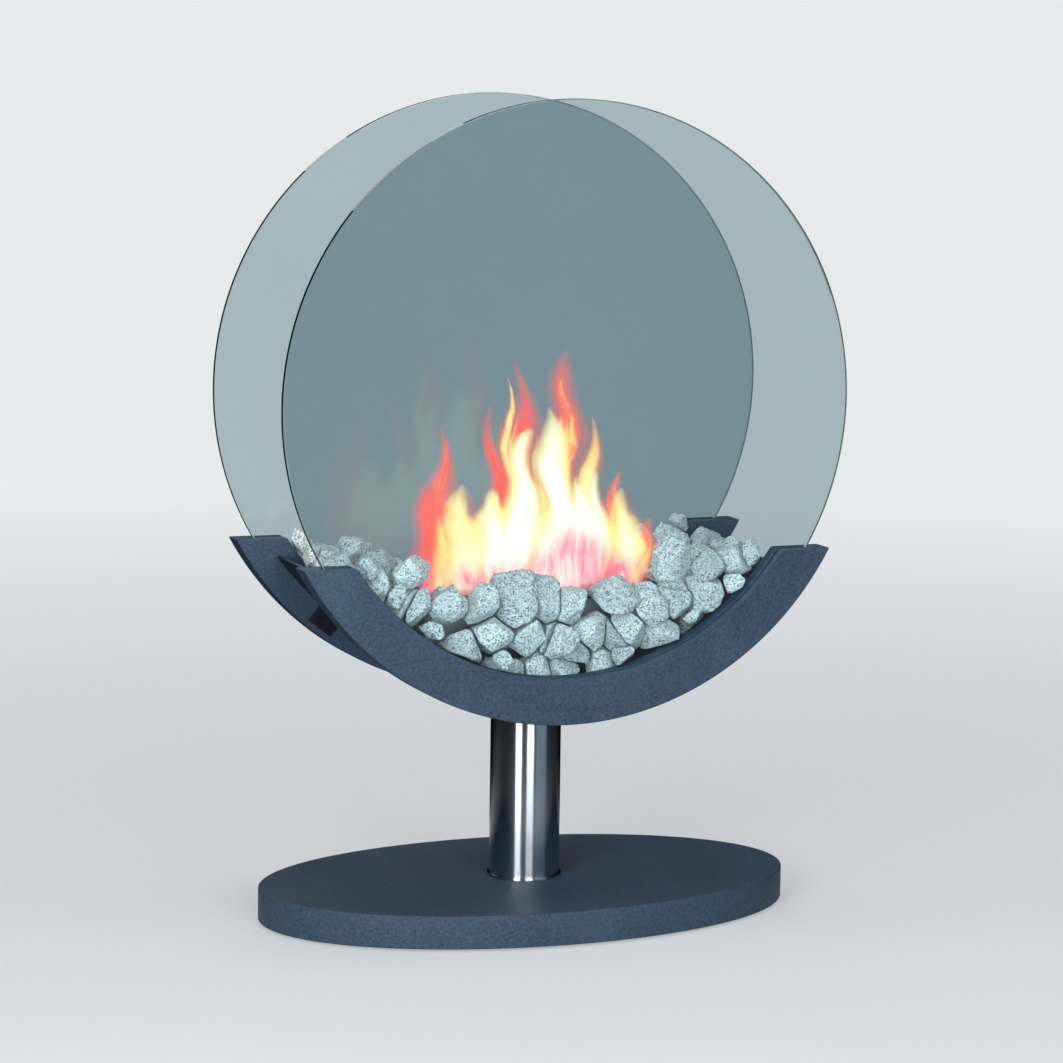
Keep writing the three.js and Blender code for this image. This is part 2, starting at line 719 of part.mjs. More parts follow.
/** Planes half way to the stones around, nearer the smaller one of each two. */
function neighbourPlanes(stone, stones) {
  const planes = [];
  for (const other of stones) {
    const distance = stone.centre.distanceTo(other.centre);
    if (other !== stone && distance < stoneNeighbourPitches * stonePitch) {
      const normal = other.centre.clone().sub(stone.centre).divideScalar(distance);
      const share = distance / 2 + (stone.size ** 2 - other.size ** 2) / (2 * distance);
      const sameBed = stone.bed !== null && stone.bed === other.bed;
      const reach = share + (sameBed ? bedOverlap : -seatGap) / 2;
      planes.push({ normal, offset: normal.dot(stone.centre) + reach });
    }
  }
  return planes;
}

function makeStones() {
  const group = new THREE.Group();
  const stones = scatteredStones();
  const beds = new Map();
  let loose = 0;
  for (const stone of stones) {
    const planes = [...wallPlanes(stone), ...neighbourPlanes(stone, stones)];
    const solid = planes.reduce(
      (rest, { normal, offset }) => rest.trimByPlane([-normal.x, -normal.y, -normal.z], -offset),
      roughLump(stone),
    );
    if (stone.bed === null) {
      loose += 1;
      addPiece(group, `stone_${String(loose).padStart(2, '0')}`, toGeometry(solid), finish.granite);
    } else {
      const soFar = beds.get(stone.bed);
      beds.set(stone.bed, soFar ? soFar.add(solid) : solid);
    }
  }
  for (const [bed, solid] of beds) {
    addPiece(group, `stone_bed_${bed}`, toGeometry(solid), finish.granite);
  }
  return group;
}

// ---------------------------------------------------------------- assembly

fireplace.add(makeBase());
fireplace.add(makeColumn());
fireplace.add(makeTieRod());
addPiece(fireplace, 'tray', makeTray(), finish.blackenedSteel);
fireplace.add(makeSide('front', -1));
fireplace.add(makeSide('rear', 1));
fireplace.add(makeLugs());
fireplace.add(makeBurner());
fireplace.add(makeDamper());
fireplace.add(makeStones());

export default fireplace;
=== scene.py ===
"""Bioethanol fireplace: two smoked glass discs in slotted crescents, a trough of granite round a burner,
and a steel column on an oval base. Sizes are in millimetres, +Z is up and the front faces -Y."""

import logging
import math
from collections.abc import Iterable, Sequence
from dataclasses import dataclass, field
from enum import Enum
from typing import Any

import bmesh
import bpy
import numpy as np
from mathutils import Matrix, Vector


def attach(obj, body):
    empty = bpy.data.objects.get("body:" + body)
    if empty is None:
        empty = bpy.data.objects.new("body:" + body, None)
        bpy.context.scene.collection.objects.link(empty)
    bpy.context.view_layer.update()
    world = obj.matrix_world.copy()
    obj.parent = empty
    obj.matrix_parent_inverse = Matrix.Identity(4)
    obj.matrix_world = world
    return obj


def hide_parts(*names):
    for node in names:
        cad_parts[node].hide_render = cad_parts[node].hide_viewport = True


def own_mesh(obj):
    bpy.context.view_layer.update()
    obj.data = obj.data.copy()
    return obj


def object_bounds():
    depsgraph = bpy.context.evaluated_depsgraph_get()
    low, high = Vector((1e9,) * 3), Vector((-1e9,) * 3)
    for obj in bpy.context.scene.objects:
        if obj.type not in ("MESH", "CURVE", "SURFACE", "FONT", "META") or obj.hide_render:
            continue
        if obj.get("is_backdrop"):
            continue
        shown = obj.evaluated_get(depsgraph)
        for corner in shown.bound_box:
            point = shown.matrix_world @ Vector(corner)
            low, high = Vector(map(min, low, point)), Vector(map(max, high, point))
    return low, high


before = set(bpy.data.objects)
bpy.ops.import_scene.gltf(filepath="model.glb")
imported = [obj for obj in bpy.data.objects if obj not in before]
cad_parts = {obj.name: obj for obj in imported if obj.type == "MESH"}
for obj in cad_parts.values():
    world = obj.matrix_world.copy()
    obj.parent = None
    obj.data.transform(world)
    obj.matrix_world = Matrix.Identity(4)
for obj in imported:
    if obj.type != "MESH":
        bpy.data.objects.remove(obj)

LOG = logging.getLogger("fireplace")
MM = 0.001
HASH_SCALE = 43758.5453  # a sine times this has digits after the point that look random
Colour = tuple[float, float, float]  # linear
Planes = tuple[np.ndarray, np.ndarray]  # unit normals and their offsets from the origin


# ---------------------------------------------------------------- surfaces


def full_turn(steps: int) -> np.ndarray:
    """Even angles round a whole turn, in radians."""
    return np.linspace(0, 2 * math.pi, steps, endpoint=False)


def grid_points(x: Any, y: Any, z: Any) -> np.ndarray:
    """Points from three coordinates that are stretched to one grid."""
    return np.stack(np.broadcast_arrays(x, y, z), axis=-1)


@dataclass(frozen=True)
class Surface:
    """A closed surface."""

    points: np.ndarray  # in millimetres
    faces: tuple[np.ndarray, ...]  # corner numbers, one array for each number of corners

    @staticmethod
    def grid(points: np.ndarray, round_u: bool, round_v: bool) -> "Surface":
        """Joins a grid of points with quads: corner (i, j) goes with (i+1, j), (i+1, j+1) and (i, j+1).

        Args:
            points: Array of u rows, v columns and three coordinates.
            round_u: True if the last row joins the first.
            round_v: True if the last column joins the first.

        Returns:
            The surface of all the quads.
        """
        rows, columns = points.shape[:2]
        i = np.arange(rows if round_u else rows - 1)[:, None] * columns
        j = np.arange(columns if round_v else columns - 1)
        below, right = (i + columns) % (rows * columns), (j + 1) % columns
        quads = np.stack([i + j, below + j, below + right, i + right], axis=-1)
        return Surface(points.reshape(-1, 3), (quads.reshape(-1, 4),))

    def capped(self, ends: Iterable[np.ndarray]) -> "Surface":
        """Adds one many-sided face for each ring of corner numbers."""
        return Surface(self.points, (*self.faces, *(ring[None, :] for ring in ends)))

    def closed_ends(self, rows: int, columns: int) -> "Surface":
        """Closes the first and the last row of a grid that is round in v, turned as its quads are."""
        ring = np.arange(columns)
        return self.capped((ring, (rows - 1) * columns + ring[::-1]))

    def outward(self) -> "Surface":
        """Turns the faces round if the enclosed volume, the sum of a . (b x c) / 6, comes out negative.

        Returns:
            The surface with its faces outwards.
        """
        volume = 0.0
        for faces in self.faces:
            first = self.points[faces[:, 0]]
            for k in range(1, faces.shape[1] - 1):
                cross = np.cross(self.points[faces[:, k]], self.points[faces[:, k + 1]])
                volume += float((first * cross).sum())
        return self if volume >= 0 else Surface(self.points, tuple(f[:, ::-1] for f in self.faces))

    @staticmethod
    def together(parts: Sequence["Surface"]) -> "Surface":
        """Puts several surfaces into one, each part's corner numbers raised by the points before it.

        Args:
            parts: The surfaces.

        Returns:
            The joined surface.
        """
        starts = np.cumsum([0] + [len(part.points) for part in parts])
        faces = [f + start for part, start in zip(parts, starts) for f in part.faces]
        return Surface(np.concatenate([part.points for part in parts]), tuple(faces))

    def mesh(self, name: str) -> bpy.types.Mesh:
        """Writes the surface into a new mesh, in metres.

        Args:
            name: The mesh's name.

        Returns:
            The mesh.
        """
        mesh = bpy.data.meshes.new(name)
        corners = np.concatenate([f.ravel() for f in self.faces]).astype(np.int32)
        counts = np.concatenate([np.full(len(f), f.shape[1]) for f in self.faces])
        starts = np.concatenate(([0], np.cumsum(counts)[:-1])).astype(np.int32)
        mesh.vertices.add(len(self.points))
        mesh.vertices.foreach_set("co", (self.points * MM).astype(np.float32).ravel())
        mesh.loops.add(len(corners))
        mesh.loops.foreach_set("vertex_index", corners)
        mesh.polygons.add(len(counts))
        mesh.polygons.foreach_set("loop_start", starts)
        mesh.update(calc_edges=True)
        mesh.validate()
        return mesh


def ring_surface(rows: Sequence[tuple[float, float, float]], steps: int) -> Surface:
    """Carries a closed section round an ellipse: at turn t a row (a, b, z) gives (a cos t, b sin t, z).

    Args:
        rows: Half length, half depth and height of each ring, the last joining the first.
        steps: Points on each ring.

    Returns:
        The closed ring-shaped surface.
    """
    turn, table = full_turn(steps), np.array(rows, float)
    points = grid_points(table[:, :1] * np.cos(turn), table[:, 1:2] * np.sin(turn), table[:, 2:])
    return Surface.grid(points, True, True).outward()


def turned_ring(profile: Sequence[tuple[float, float]], steps: int) -> Surface:
    """Ring turned on the Z axis from a closed profile of (radius, height)."""
    return ring_surface([(radius, radius, height) for radius, height in profile], steps)


def eased(corners: Sequence[tuple[float, float]], radius: float, steps: int = 3) -> list[tuple[float, float]]:
    """Rounds every corner of a closed profile: a corner p between unit directions d and e becomes the
    quadratic curve (1-s)^2 (p+rd) + 2s(1-s) p + s^2 (p+re), with s from 0 to 1.

    Args:
        corners: The profile's corners in order.
        radius: How far from each corner its rounding starts.
        steps: Points on each rounded corner, less one.

    Returns:
        The points of the rounded profile.
    """
    points = np.array(corners, float)
    before = np.roll(points, 1, axis=0) - points
    after = np.roll(points, -1, axis=0) - points
    start = points + radius * before / np.linalg.norm(before, axis=1, keepdims=True)
    stop = points + radius * after / np.linalg.norm(after, axis=1, keepdims=True)
    s = np.linspace(0, 1, steps + 1)[None, :, None]
    curve = (1 - s) ** 2 * start[:, None] + 2 * s * (1 - s) * points[:, None] + s**2 * stop[:, None]
    return [tuple(point) for point in curve.reshape(-1, 2)]


def level_arc(section: np.ndarray, axis_height: float, tip_height: float, steps: int) -> Surface:
    """Carries a closed section of (radius, y) under an axis along Y, with both ends cut level.

    A point of radius r goes from angle pi + a to 2 pi - a, with a = asin((axis height - tip height) / r),
    so every point of a tip lies at the tip height: x = r cos(angle), z = axis height + r sin(angle).

    Args:
        section: The section's corners as (radius, y).
        axis_height: Height of the arc's axis.
        tip_height: Height of the two level ends.
        steps: Steps along the arc.

    Returns:
        The closed band with its two ends.
    """
    radius, depth = section[:, 0], section[:, 1]
    inset = np.arcsin((axis_height - tip_height) / radius)
    share = np.linspace(0, 1, steps + 1)[:, None]
    angle = (math.pi + inset) * (1 - share) + (2 * math.pi - inset) * share
    points = grid_points(radius * np.cos(angle), depth, axis_height + radius * np.sin(angle))
    return Surface.grid(points, False, True).closed_ends(*points.shape[:2]).outward()


def chance(number: float | np.ndarray) -> np.ndarray:
    """Even spread from 0 to 1: what is after the point in sin(12.9898 n + 4.1414) times the hash scale."""
    value = np.sin(np.asarray(number, float) * 12.9898 + 4.1414) * HASH_SCALE
    return value - np.floor(value)


def lattice_noise(points: np.ndarray, cell: float, seed: float) -> np.ndarray:
    """Smooth noise from 0 to 1: a hash of the eight lattice corners round a point, blended with 3f^2 - 2f^3.

    Args:
        points: Places as an array of three columns.
        cell: Distance between lattice corners.
        seed: Number that sets this noise apart from another.

    Returns:
        One value for each point.
    """
    axis_factors, seed_factor = np.array([127.1, 311.7, 74.7]), 53.3
    scaled = points / cell
    corner = np.floor(scaled)
    share = scaled - corner
    weight = share * share * (3 - 2 * share)
    total = np.zeros(len(points))
    for offset in np.ndindex(2, 2, 2):
        hashed = np.sin((corner + np.array(offset)) @ axis_factors + seed * seed_factor) * HASH_SCALE
        side = np.where(np.array(offset) == 1, weight, 1 - weight).prod(axis=1)
        total += side * (hashed - np.floor(hashed))
    return total


# ---------------------------------------------------------------- finishes


class Effect(Enum):
    """Shader node groups that several finishes share."""

    GRAIN = "surface_grain"
    BRUSHING = "brushed_lines"
    SPECKLE = "granite_speckle"


class NodeTree:
    """A node tree that nodes are added to and joined in."""

    def __init__(self, tree: bpy.types.NodeTree) -> None:
        """Starts with the tree's own nodes."""
        self.tree = tree

    def feed(self, target: bpy.types.NodeSocket, value: Any) -> None:
        """Joins a socket to an input, or gives the input a plain value.

        Args:
            target: The input.
            value: A socket, or a plain value.
        """
        if isinstance(value, bpy.types.NodeSocket):
            self.tree.links.new(value, target)
        else:
            target.default_value = value

    def add(self, kind: str, values: dict[Any, Any] | None = None, **settings: Any) -> bpy.types.Node:
        """Adds a node.

        Args:
            kind: The node's type name.
            values: Plain values or joined sockets, by input name or number.
            **settings: The node's own properties.

        Returns:
            The new node.
        """
        node = self.tree.nodes.new(kind)
        for name, setting in settings.items():
            setattr(node, name, setting)
        for name, value in (values or {}).items():
            self.feed(node.inputs[name], value)
        return node

    def math(self, operation: str, first: Any, second: Any) -> bpy.types.NodeSocket:
        """Result of a Math node."""
        return self.add("ShaderNodeMath", {0: first, 1: second}, operation=operation).outputs[0]

    def centred(self, value: Any, depth: Any, middle: Any) -> bpy.types.NodeSocket:
        """Depth times a value less a half, added to a middle."""
        return self.math("ADD", self.math("MULTIPLY", self.math("SUBTRACT", value, 0.5), depth), middle)

    def spread(self, value: Any, low: float, high: float, start: float, end: float) -> bpy.types.NodeSocket:
        """Value from low to high, carried in a straight line to start to end."""
        return self.add("ShaderNodeMapRange", {0: value, 1: low, 2: high, 3: start, 4: end}).outputs[0]

    def vector(self, operation: str, first: Any, second: Any) -> bpy.types.NodeSocket:
        """Result of a Vector Math node."""
        return self.add("ShaderNodeVectorMath", {0: first, 1: second}, operation=operation).outputs[0]

    def blend(self, share: Any, first: Any, second: Any, mode: str = "MIX") -> bpy.types.NodeSocket:
        """Colour between two colours."""
        values = {0: share, 6: first, 7: second}
        return self.add("ShaderNodeMix", values, data_type="RGBA", blend_type=mode).outputs[2]

    def noise(self, place: Any, scale: Any, detail: float = 2.0, warp: float = 0.0) -> bpy.types.NodeSocket:
        """Factor of a Noise Texture."""
        values = {"Vector": place, "Scale": scale, "Detail": detail, "Distortion": warp}
        return self.add("ShaderNodeTexNoise", values).outputs[0]

    def cells(self, place: Any, scale: float) -> bpy.types.NodeSocket:
        """Random number of each cell of a Voronoi Texture."""
        colour = self.add("ShaderNodeTexVoronoi", {"Vector": place, "Scale": scale}).outputs["Color"]
        return self.add("ShaderNodeSeparateColor", {0: colour}).outputs[0]

    def attribute(self, name: str) -> bpy.types.NodeSocket:
        """A number that the mesh holds at each point."""
        return self.add("ShaderNodeAttribute", attribute_name=name).outputs["Fac"]


class EffectGroup(NodeTree):
    """A shader node group that turns a place and a finish's values into colour, roughness and height."""

    built: dict[Effect, bpy.types.NodeTree] = {}

    def __init__(self, effect: Effect, inputs: dict[str, str]) -> None:
        """Makes the group and its sockets.

        Args:
            effect: The effect that the group gives.
            inputs: Socket type of each named input beside Vector.
        """
        super().__init__(bpy.data.node_groups.new(effect.value, "ShaderNodeTree"))
        outputs = {"Color": "Color", "Roughness": "Float", "Height": "Float"}
        for direction, sockets in (("INPUT", {"Vector": "Vector", **inputs}), ("OUTPUT", outputs)):
            for name, kind in sockets.items():
                self.tree.interface.new_socket(name=name, in_out=direction, socket_type=f"NodeSocket{kind}")
        self.given = self.add("NodeGroupInput").outputs
        self.result = self.add("NodeGroupOutput").inputs
        EffectGroup.built[effect] = self.tree

    def give(self, colour: Any, level: Any, roughness: Any, height: Any) -> None:
        """Gives out a colour times a level, a roughness and a height.

        Args:
            colour: Colour before it is lightened or darkened.
            level: What it is multiplied by.
            roughness: Roughness.
            height: Height for the bump.
        """
        light = self.add("ShaderNodeCombineXYZ", {axis: level for axis in range(3)}).outputs[0]
        self.feed(self.result["Color"], self.blend(1.0, colour, light, "MULTIPLY"))
        self.feed(self.result["Roughness"], roughness)
        self.feed(self.result["Height"], height)

    @staticmethod
    def tree_of(effect: Effect) -> bpy.types.NodeTree:
        """The effect's group, made when it is first asked for.

        Args:
            effect: The effect.

        Returns:
            Its node tree.
        """
        makers = {Effect.GRAIN: grain_group, Effect.BRUSHING: brushing_group, Effect.SPECKLE: speckle_group}
        if effect not in EffectGroup.built:
            makers[effect]()
        return EffectGroup.built[effect]


def grain_group() -> None:
    """Orange-peel grain: shares of a fine noise and a broad one lighten and darken the colour, the broad one
    gives the roughness and the fine one the height."""
    broad_scale = 14.0  # patches per metre
    detail = 3.0  # of both noises
    fine_share, broad_share = 0.7, 0.3
    roughness_depth = 0.25
    inputs = {"Color": "Color", "Scale": "Float", "Contrast": "Float", "Roughness": "Float"}
    group = EffectGroup(Effect.GRAIN, inputs)
    given = group.given
    fine = group.noise(given["Vector"], given["Scale"], detail)
    broad = group.noise(given["Vector"], broad_scale, detail)
    shares = (group.math("MULTIPLY", fine, fine_share), group.math("MULTIPLY", broad, broad_share))
    level = group.centred(group.math("ADD", *shares), given["Contrast"], 1.0)
    group.give(given["Color"], level, group.centred(broad, roughness_depth, given["Roughness"]), fine)


def brushing_group() -> None:
    """Brushed lines: noise drawn out along one axis by the Stretch vector, with broad smears."""
    line_detail = 4.0
    smear_scale = 22.0  # smears per metre
    roughness_depth = 0.12
    inputs = {"Stretch": "Vector", "Color": "Color", "Contrast": "Float", "Roughness": "Float"}
    group = EffectGroup(Effect.BRUSHING, inputs)
    given = group.given
    lines = group.noise(group.vector("MULTIPLY", given["Vector"], given["Stretch"]), 1.0, line_detail)
    smear = group.noise(given["Vector"], smear_scale)
    level = group.centred(lines, given["Contrast"], 1.0)
    group.give(given["Color"], level, group.centred(smear, roughness_depth, given["Roughness"]), lines)


def speckle_group() -> None:
    """Granite: pale feldspar cells, some of them grey quartz, under dark mica flakes that lie thicker where a
    cloudy noise is high. A fine noise frays the cells' edges, and each stone has its own tone."""
    fray_scale, grain_scale, flake_scale, cloud_scale, pit_scale = 700.0, 900.0, 1250.0, 60.0, 420.0
    fray = 0.0012  # metres by which the cells' edges are pushed
    quartz = (0.58, 0.7)  # a grain's random number from where it begins to be grey to where it is
    flake_limit = 0.945  # random number over which a flake is dark, where there is no cloud
    flake_clouding = 0.34  # how much lower the limit is where the cloud is thickest
    flake_edge, flake_cover = 0.05, 0.92
    cloud_contrast = 0.35
    ground_roughness, flake_roughness = 0.78, 0.45
    grain_height = 0.25  # against the height of the pits
    group = EffectGroup(Effect.SPECKLE, {"Tone": "Float", "Pale": "Color", "Grey": "Color", "Dark": "Color"})
    given = group.given
    jitter = group.add("ShaderNodeTexNoise", {"Vector": given["Vector"], "Scale": fray_scale, "Detail": 1.0})
    push = group.add("ShaderNodeVectorMath", {0: jitter.outputs[1], 3: fray}, operation="SCALE")
    frayed = group.vector("ADD", given["Vector"], push.outputs[0])
    grain, flake = group.cells(frayed, grain_scale), group.cells(frayed, flake_scale)
    cloud = group.noise(given["Vector"], cloud_scale, 3.0)
    ground = group.blend(group.spread(grain, *quartz, 0.0, 1.0), given["Pale"], given["Grey"])
    limit = group.math("SUBTRACT", flake_limit, group.math("MULTIPLY", cloud, flake_clouding))
    mica = group.spread(group.math("SUBTRACT", flake, limit), 0.0, flake_edge, 0.0, flake_cover)
    pits = group.noise(given["Vector"], pit_scale, 4.0)
    group.give(
        group.blend(mica, ground, given["Dark"]),
        group.centred(cloud, cloud_contrast, given["Tone"]),
        group.spread(mica, 0.0, 1.0, ground_roughness, flake_roughness),
        group.math("ADD", pits, group.math("MULTIPLY", grain, grain_height)),
    )


class Look(NodeTree):
    """A material with its Principled shader."""

    def __init__(self, name: str) -> None:
        """Makes an empty material.

        Args:
            name: Its name.
        """
        self.material = bpy.data.materials.new(name)
        self.material.use_nodes = True
        super().__init__(self.material.node_tree)
        self.shader = self.tree.nodes["Principled BSDF"]
        self.surface = self.tree.nodes["Material Output"].inputs["Surface"]

    def place(self) -> bpy.types.NodeSocket:
        """Object coordinates, which lie still on the piece."""
        return self.add("ShaderNodeTexCoord").outputs["Object"]

    def set(self, **values: Any) -> None:
        """Gives the shader's own sockets values or joins, their names written with _ for a space."""
        for name, value in values.items():
            self.feed(self.shader.inputs[name.replace("_", " ")], value)

    def mix(self, share: Any, first: Any, second: Any) -> None:
        """Makes the surface a mix of two shaders."""
        self.feed(self.surface, self.add("ShaderNodeMixShader", {0: share, 1: first, 2: second}).outputs[0])

    def wear(self, effect: Effect, values: dict[str, Any], bump: float) -> None:
        """Places a shared effect on Object coordinates and joins what it gives out.

        Args:
            effect: The effect.
            values: Its own values, by input name.
            bump: Depth of its height in metres.
        """
        inputs = {"Vector": self.place(), **values}
        out = self.add("ShaderNodeGroup", inputs, node_tree=EffectGroup.tree_of(effect)).outputs
        relief = self.add("ShaderNodeBump", {"Strength": 1.0, "Distance": bump, "Height": out["Height"]})
        self.set(Base_Color=out["Color"], Roughness=out["Roughness"], Normal=relief.outputs[0])


def rgba(colour: Colour) -> tuple[float, float, float, float]:
    """Colour with full alpha."""
    return (*colour, 1.0)


@dataclass(frozen=True)
class Finish:
    """What a piece's surface is like."""

    name: str  # of the material
    slot: str  # name of its slot, or empty

    def fill(self, look: Look) -> None:
        """Sets up the nodes of an empty material."""
        raise NotImplementedError

    def material(self) -> bpy.types.Material:
        """Builds the material.

        Returns:
            The material.
        """
        look = Look(self.name)
        self.fill(look)
        return look.material


@dataclass(frozen=True)
class PatternedFinish(Finish):
    """Finish whose colour and roughness a shared effect varies."""

    colour: Colour
    roughness: float  # its mean
    contrast: float  # how far the pattern lightens and darkens the colour
    bump: float  # depth of the pattern in metres

    def pattern(self, look: Look, effect: Effect, name: str, value: Any) -> None:
        """Joins the effect with these values and one more that is its own."""
        shared = {"Color": rgba(self.colour), "Contrast": self.contrast, "Roughness": self.roughness}
        look.wear(effect, {**shared, name: value}, self.bump)


@dataclass(frozen=True)
class GrainedFinish(PatternedFinish):
    """Coated, moulded or fibrous surface with a fine even grain."""

    scale: float  # grains per metre, roughly
    metallic: float = 0.0
    specular: float = 0.5

    def fill(self, look: Look) -> None:
        """Sets up the grain."""
        look.set(Metallic=self.metallic, Specular_IOR_Level=self.specular)
        self.pattern(look, Effect.GRAIN, "Scale", self.scale)


@dataclass(frozen=True)
class BrushedFinish(PatternedFinish):
    """Bare steel with brushed lines."""

    stretch: tuple[float, float, float]  # lines per metre along each axis
    anisotropy: float = 0.0  # how far highlights are drawn out round Z
    highlight_turn: float = 0.25  # turns from the tangent to the way in which they are drawn out

    def fill(self, look: Look) -> None:
        """Sets up the lines and the drawn-out highlights.

        Args:
            look: The material to fill.
        """
        look.set(Metallic=1.0, Anisotropic=self.anisotropy, Anisotropic_Rotation=self.highlight_turn)
        if self.anisotropy:
            look.set(Tangent=look.add("ShaderNodeTangent", direction_type="RADIAL", axis="Z").outputs[0])
        self.pattern(look, Effect.BRUSHING, "Stretch", self.stretch)


@dataclass(frozen=True)
class GlassFinish(Finish):
    """Smoked toughened glass."""

    tint: Colour  # that light takes on at each face
    shade: Colour  # of the light that goes on through the disc
    smear: float = 0.94  # the tint's level in its darker parts
    smear_scale: float = 6.0  # smears per metre
    refraction: float = 1.45  # its refractive index

    def fill(self, look: Look) -> None:
        """Sets up the glass, clear for shadow rays, so that what is behind it is lit.

        Args:
            look: The material to fill.
        """
        deep = tuple(self.smear * part for part in self.tint)
        tint = look.blend(look.noise(look.place(), self.smear_scale, 3.0), rgba(self.tint), rgba(deep))
        look.set(Roughness=0.0, IOR=self.refraction, Transmission_Weight=1.0, Metallic=0.0, Base_Color=tint)
        clear = look.add("ShaderNodeBsdfTransparent", {"Color": rgba(self.shade)})
        path = look.add("ShaderNodeLightPath").outputs
        look.mix(path["Is Shadow Ray"], look.shader.outputs[0], clear.outputs[0])


@dataclass(frozen=True)
class GraniteFinish(Finish):
    """Broken grey granite."""

    pale: Colour  # feldspar grains
    grey: Colour  # quartz grains
    dark: Colour  # mica flakes
    bump: float  # depth of the broken surface in metres

    def fill(self, look: Look) -> None:
        """Sets up the speckle, with each stone's own tone from its attribute."""
        colours = {"Pale": rgba(self.pale), "Grey": rgba(self.grey), "Dark": rgba(self.dark)}
        look.wear(Effect.SPECKLE, {"Tone": look.attribute(StoneHeap.TONE), **colours}, self.bump)


@dataclass(frozen=True)
class FlameFinish(Finish):
    """Glowing gas: red at its edges, orange and yellow further in and nearly white in the middle."""

    strength: float  # of the glow
    density: float  # greatest alpha of one face
    foot: Colour  # just above the burner
    steps: tuple[tuple[float, Colour], ...]  # heat and colour of each step of the ramp
    stretch: tuple[float, float, float] = (60.0, 60.0, 22.0)  # licks per metre along each axis
    twist: float = 1.4  # distortion of the licks
    stir: float = 0.65  # how far the licks change the heat
    thinning: tuple[float, float] = (0.3, 0.62)  # a lick's noise where the gas is thin and where dense
    cooling: tuple[float, float] = (0.08, 0.45)  # heat where it is thin and where dense
    thinnest: float = 0.6  # share of the density that is left where it is thin
    foot_fading: tuple[float, float] = (0.36, 0.62)  # a lick's noise over which the foot's colour weakens
    foot_least: float = 0.25  # share of the foot's colour that is left there

    def fill(self, look: Look) -> None:
        """Sets up the glow from the tongues' heat, fade and foot, stirred by a noise drawn out upwards.

        Args:
            look: The material to fill.
        """
        heat, fade, foot = (look.attribute(name) for name in (Flame.HEAT, Flame.FADE, Flame.FOOT))
        licks = look.noise(look.vector("MULTIPLY", look.place(), self.stretch), 1.0, warp=self.twist)
        ramp = look.add("ShaderNodeValToRGB", {0: look.centred(licks, self.stir, heat)})
        elements = ramp.color_ramp.elements
        while len(elements) < len(self.steps):
            elements.new(0.5)
        for element, (position, colour) in zip(elements, self.steps):
            element.position = position
            element.color = rgba(colour)
        low = look.math("MULTIPLY", foot, look.spread(licks, *self.foot_fading, 1.0, self.foot_least))
        thin = look.spread(licks, *self.thinning, self.thinnest * self.density, self.density)
        body = look.math("MULTIPLY", thin, look.spread(heat, *self.cooling, self.thinnest, 1.0))
        glow = look.blend(low, ramp.outputs[0], rgba(self.foot))
        look.set(Roughness=1.0, Specular_IOR_Level=0.0, Base_Color=rgba((0.0, 0.0, 0.0)))
        look.set(Emission_Color=glow, Emission_Strength=self.strength)
        look.set(Alpha=look.math("MULTIPLY", fade, body))


COAT = GrainedFinish(
    "anthracite_powder_coat",
    "anthracite_coat",
    (0.052, 0.082, 0.126),
    roughness=0.55,
    contrast=1.9,
    bump=0.0008,
    scale=430,
    specular=0.2,
)
RUBBER = GrainedFinish("ribbed_rubber", "pad_rubber", (0.012, 0.012, 0.013), 0.85, 0.4, 0.0001, scale=500)
SILICONE = GrainedFinish("black_silicone", "silicone", (0.015, 0.017, 0.02), 0.6, 0.2, 0.00003, scale=300)
FIBRE = GrainedFinish("ceramic_wool", "ceramic_fibre", (0.78, 0.76, 0.7), 0.95, 0.35, 0.0006, scale=260)
BLACKENED = GrainedFinish(
    "blackened_steel", "blackened_steel", (0.016, 0.019, 0.026), 0.5, 0.5, 0.00008, scale=700, metallic=0.4
)
POLISHED = BrushedFinish(
    "polished_stainless_steel", "polished_steel", (0.62, 0.66, 0.71), 0.25, 0.12, 1.5e-6, (30, 30, 900), 1.0
)
PLAIN_STEEL = BrushedFinish("plain_steel", "plain_steel", (0.48, 0.49, 0.5), 0.36, 0.2, 1e-5, (900, 60, 60))
GLASS = GlassFinish("smoked_glass", "smoked_glass", (0.505, 0.605, 0.63), (0.95, 0.97, 0.98))
GRANITE = GraniteFinish(
    "broken_granite", "granite", (0.98, 0.98, 0.96), (0.60, 0.67, 0.64), (0.05, 0.065, 0.065), 0.0008
)
FIRE = FlameFinish(
    "burning_ethanol",
    "",
    strength=2.6,
    density=0.42,
    foot=(1.0, 0.13, 0.24),
    steps=(
        (0.0, (1.0, 0.06, 0.06)),
        (0.3, (1.0, 0.12, 0.09)),
        (0.42, (1.0, 0.27, 0.12)),
        (0.54, (1.0, 0.62, 0.18)),
        (0.74, (1.0, 0.78, 0.36)),
        (1.0, (1.0, 0.85, 0.7)),
    ),
)


# ---------------------------------------------------------------- pieces


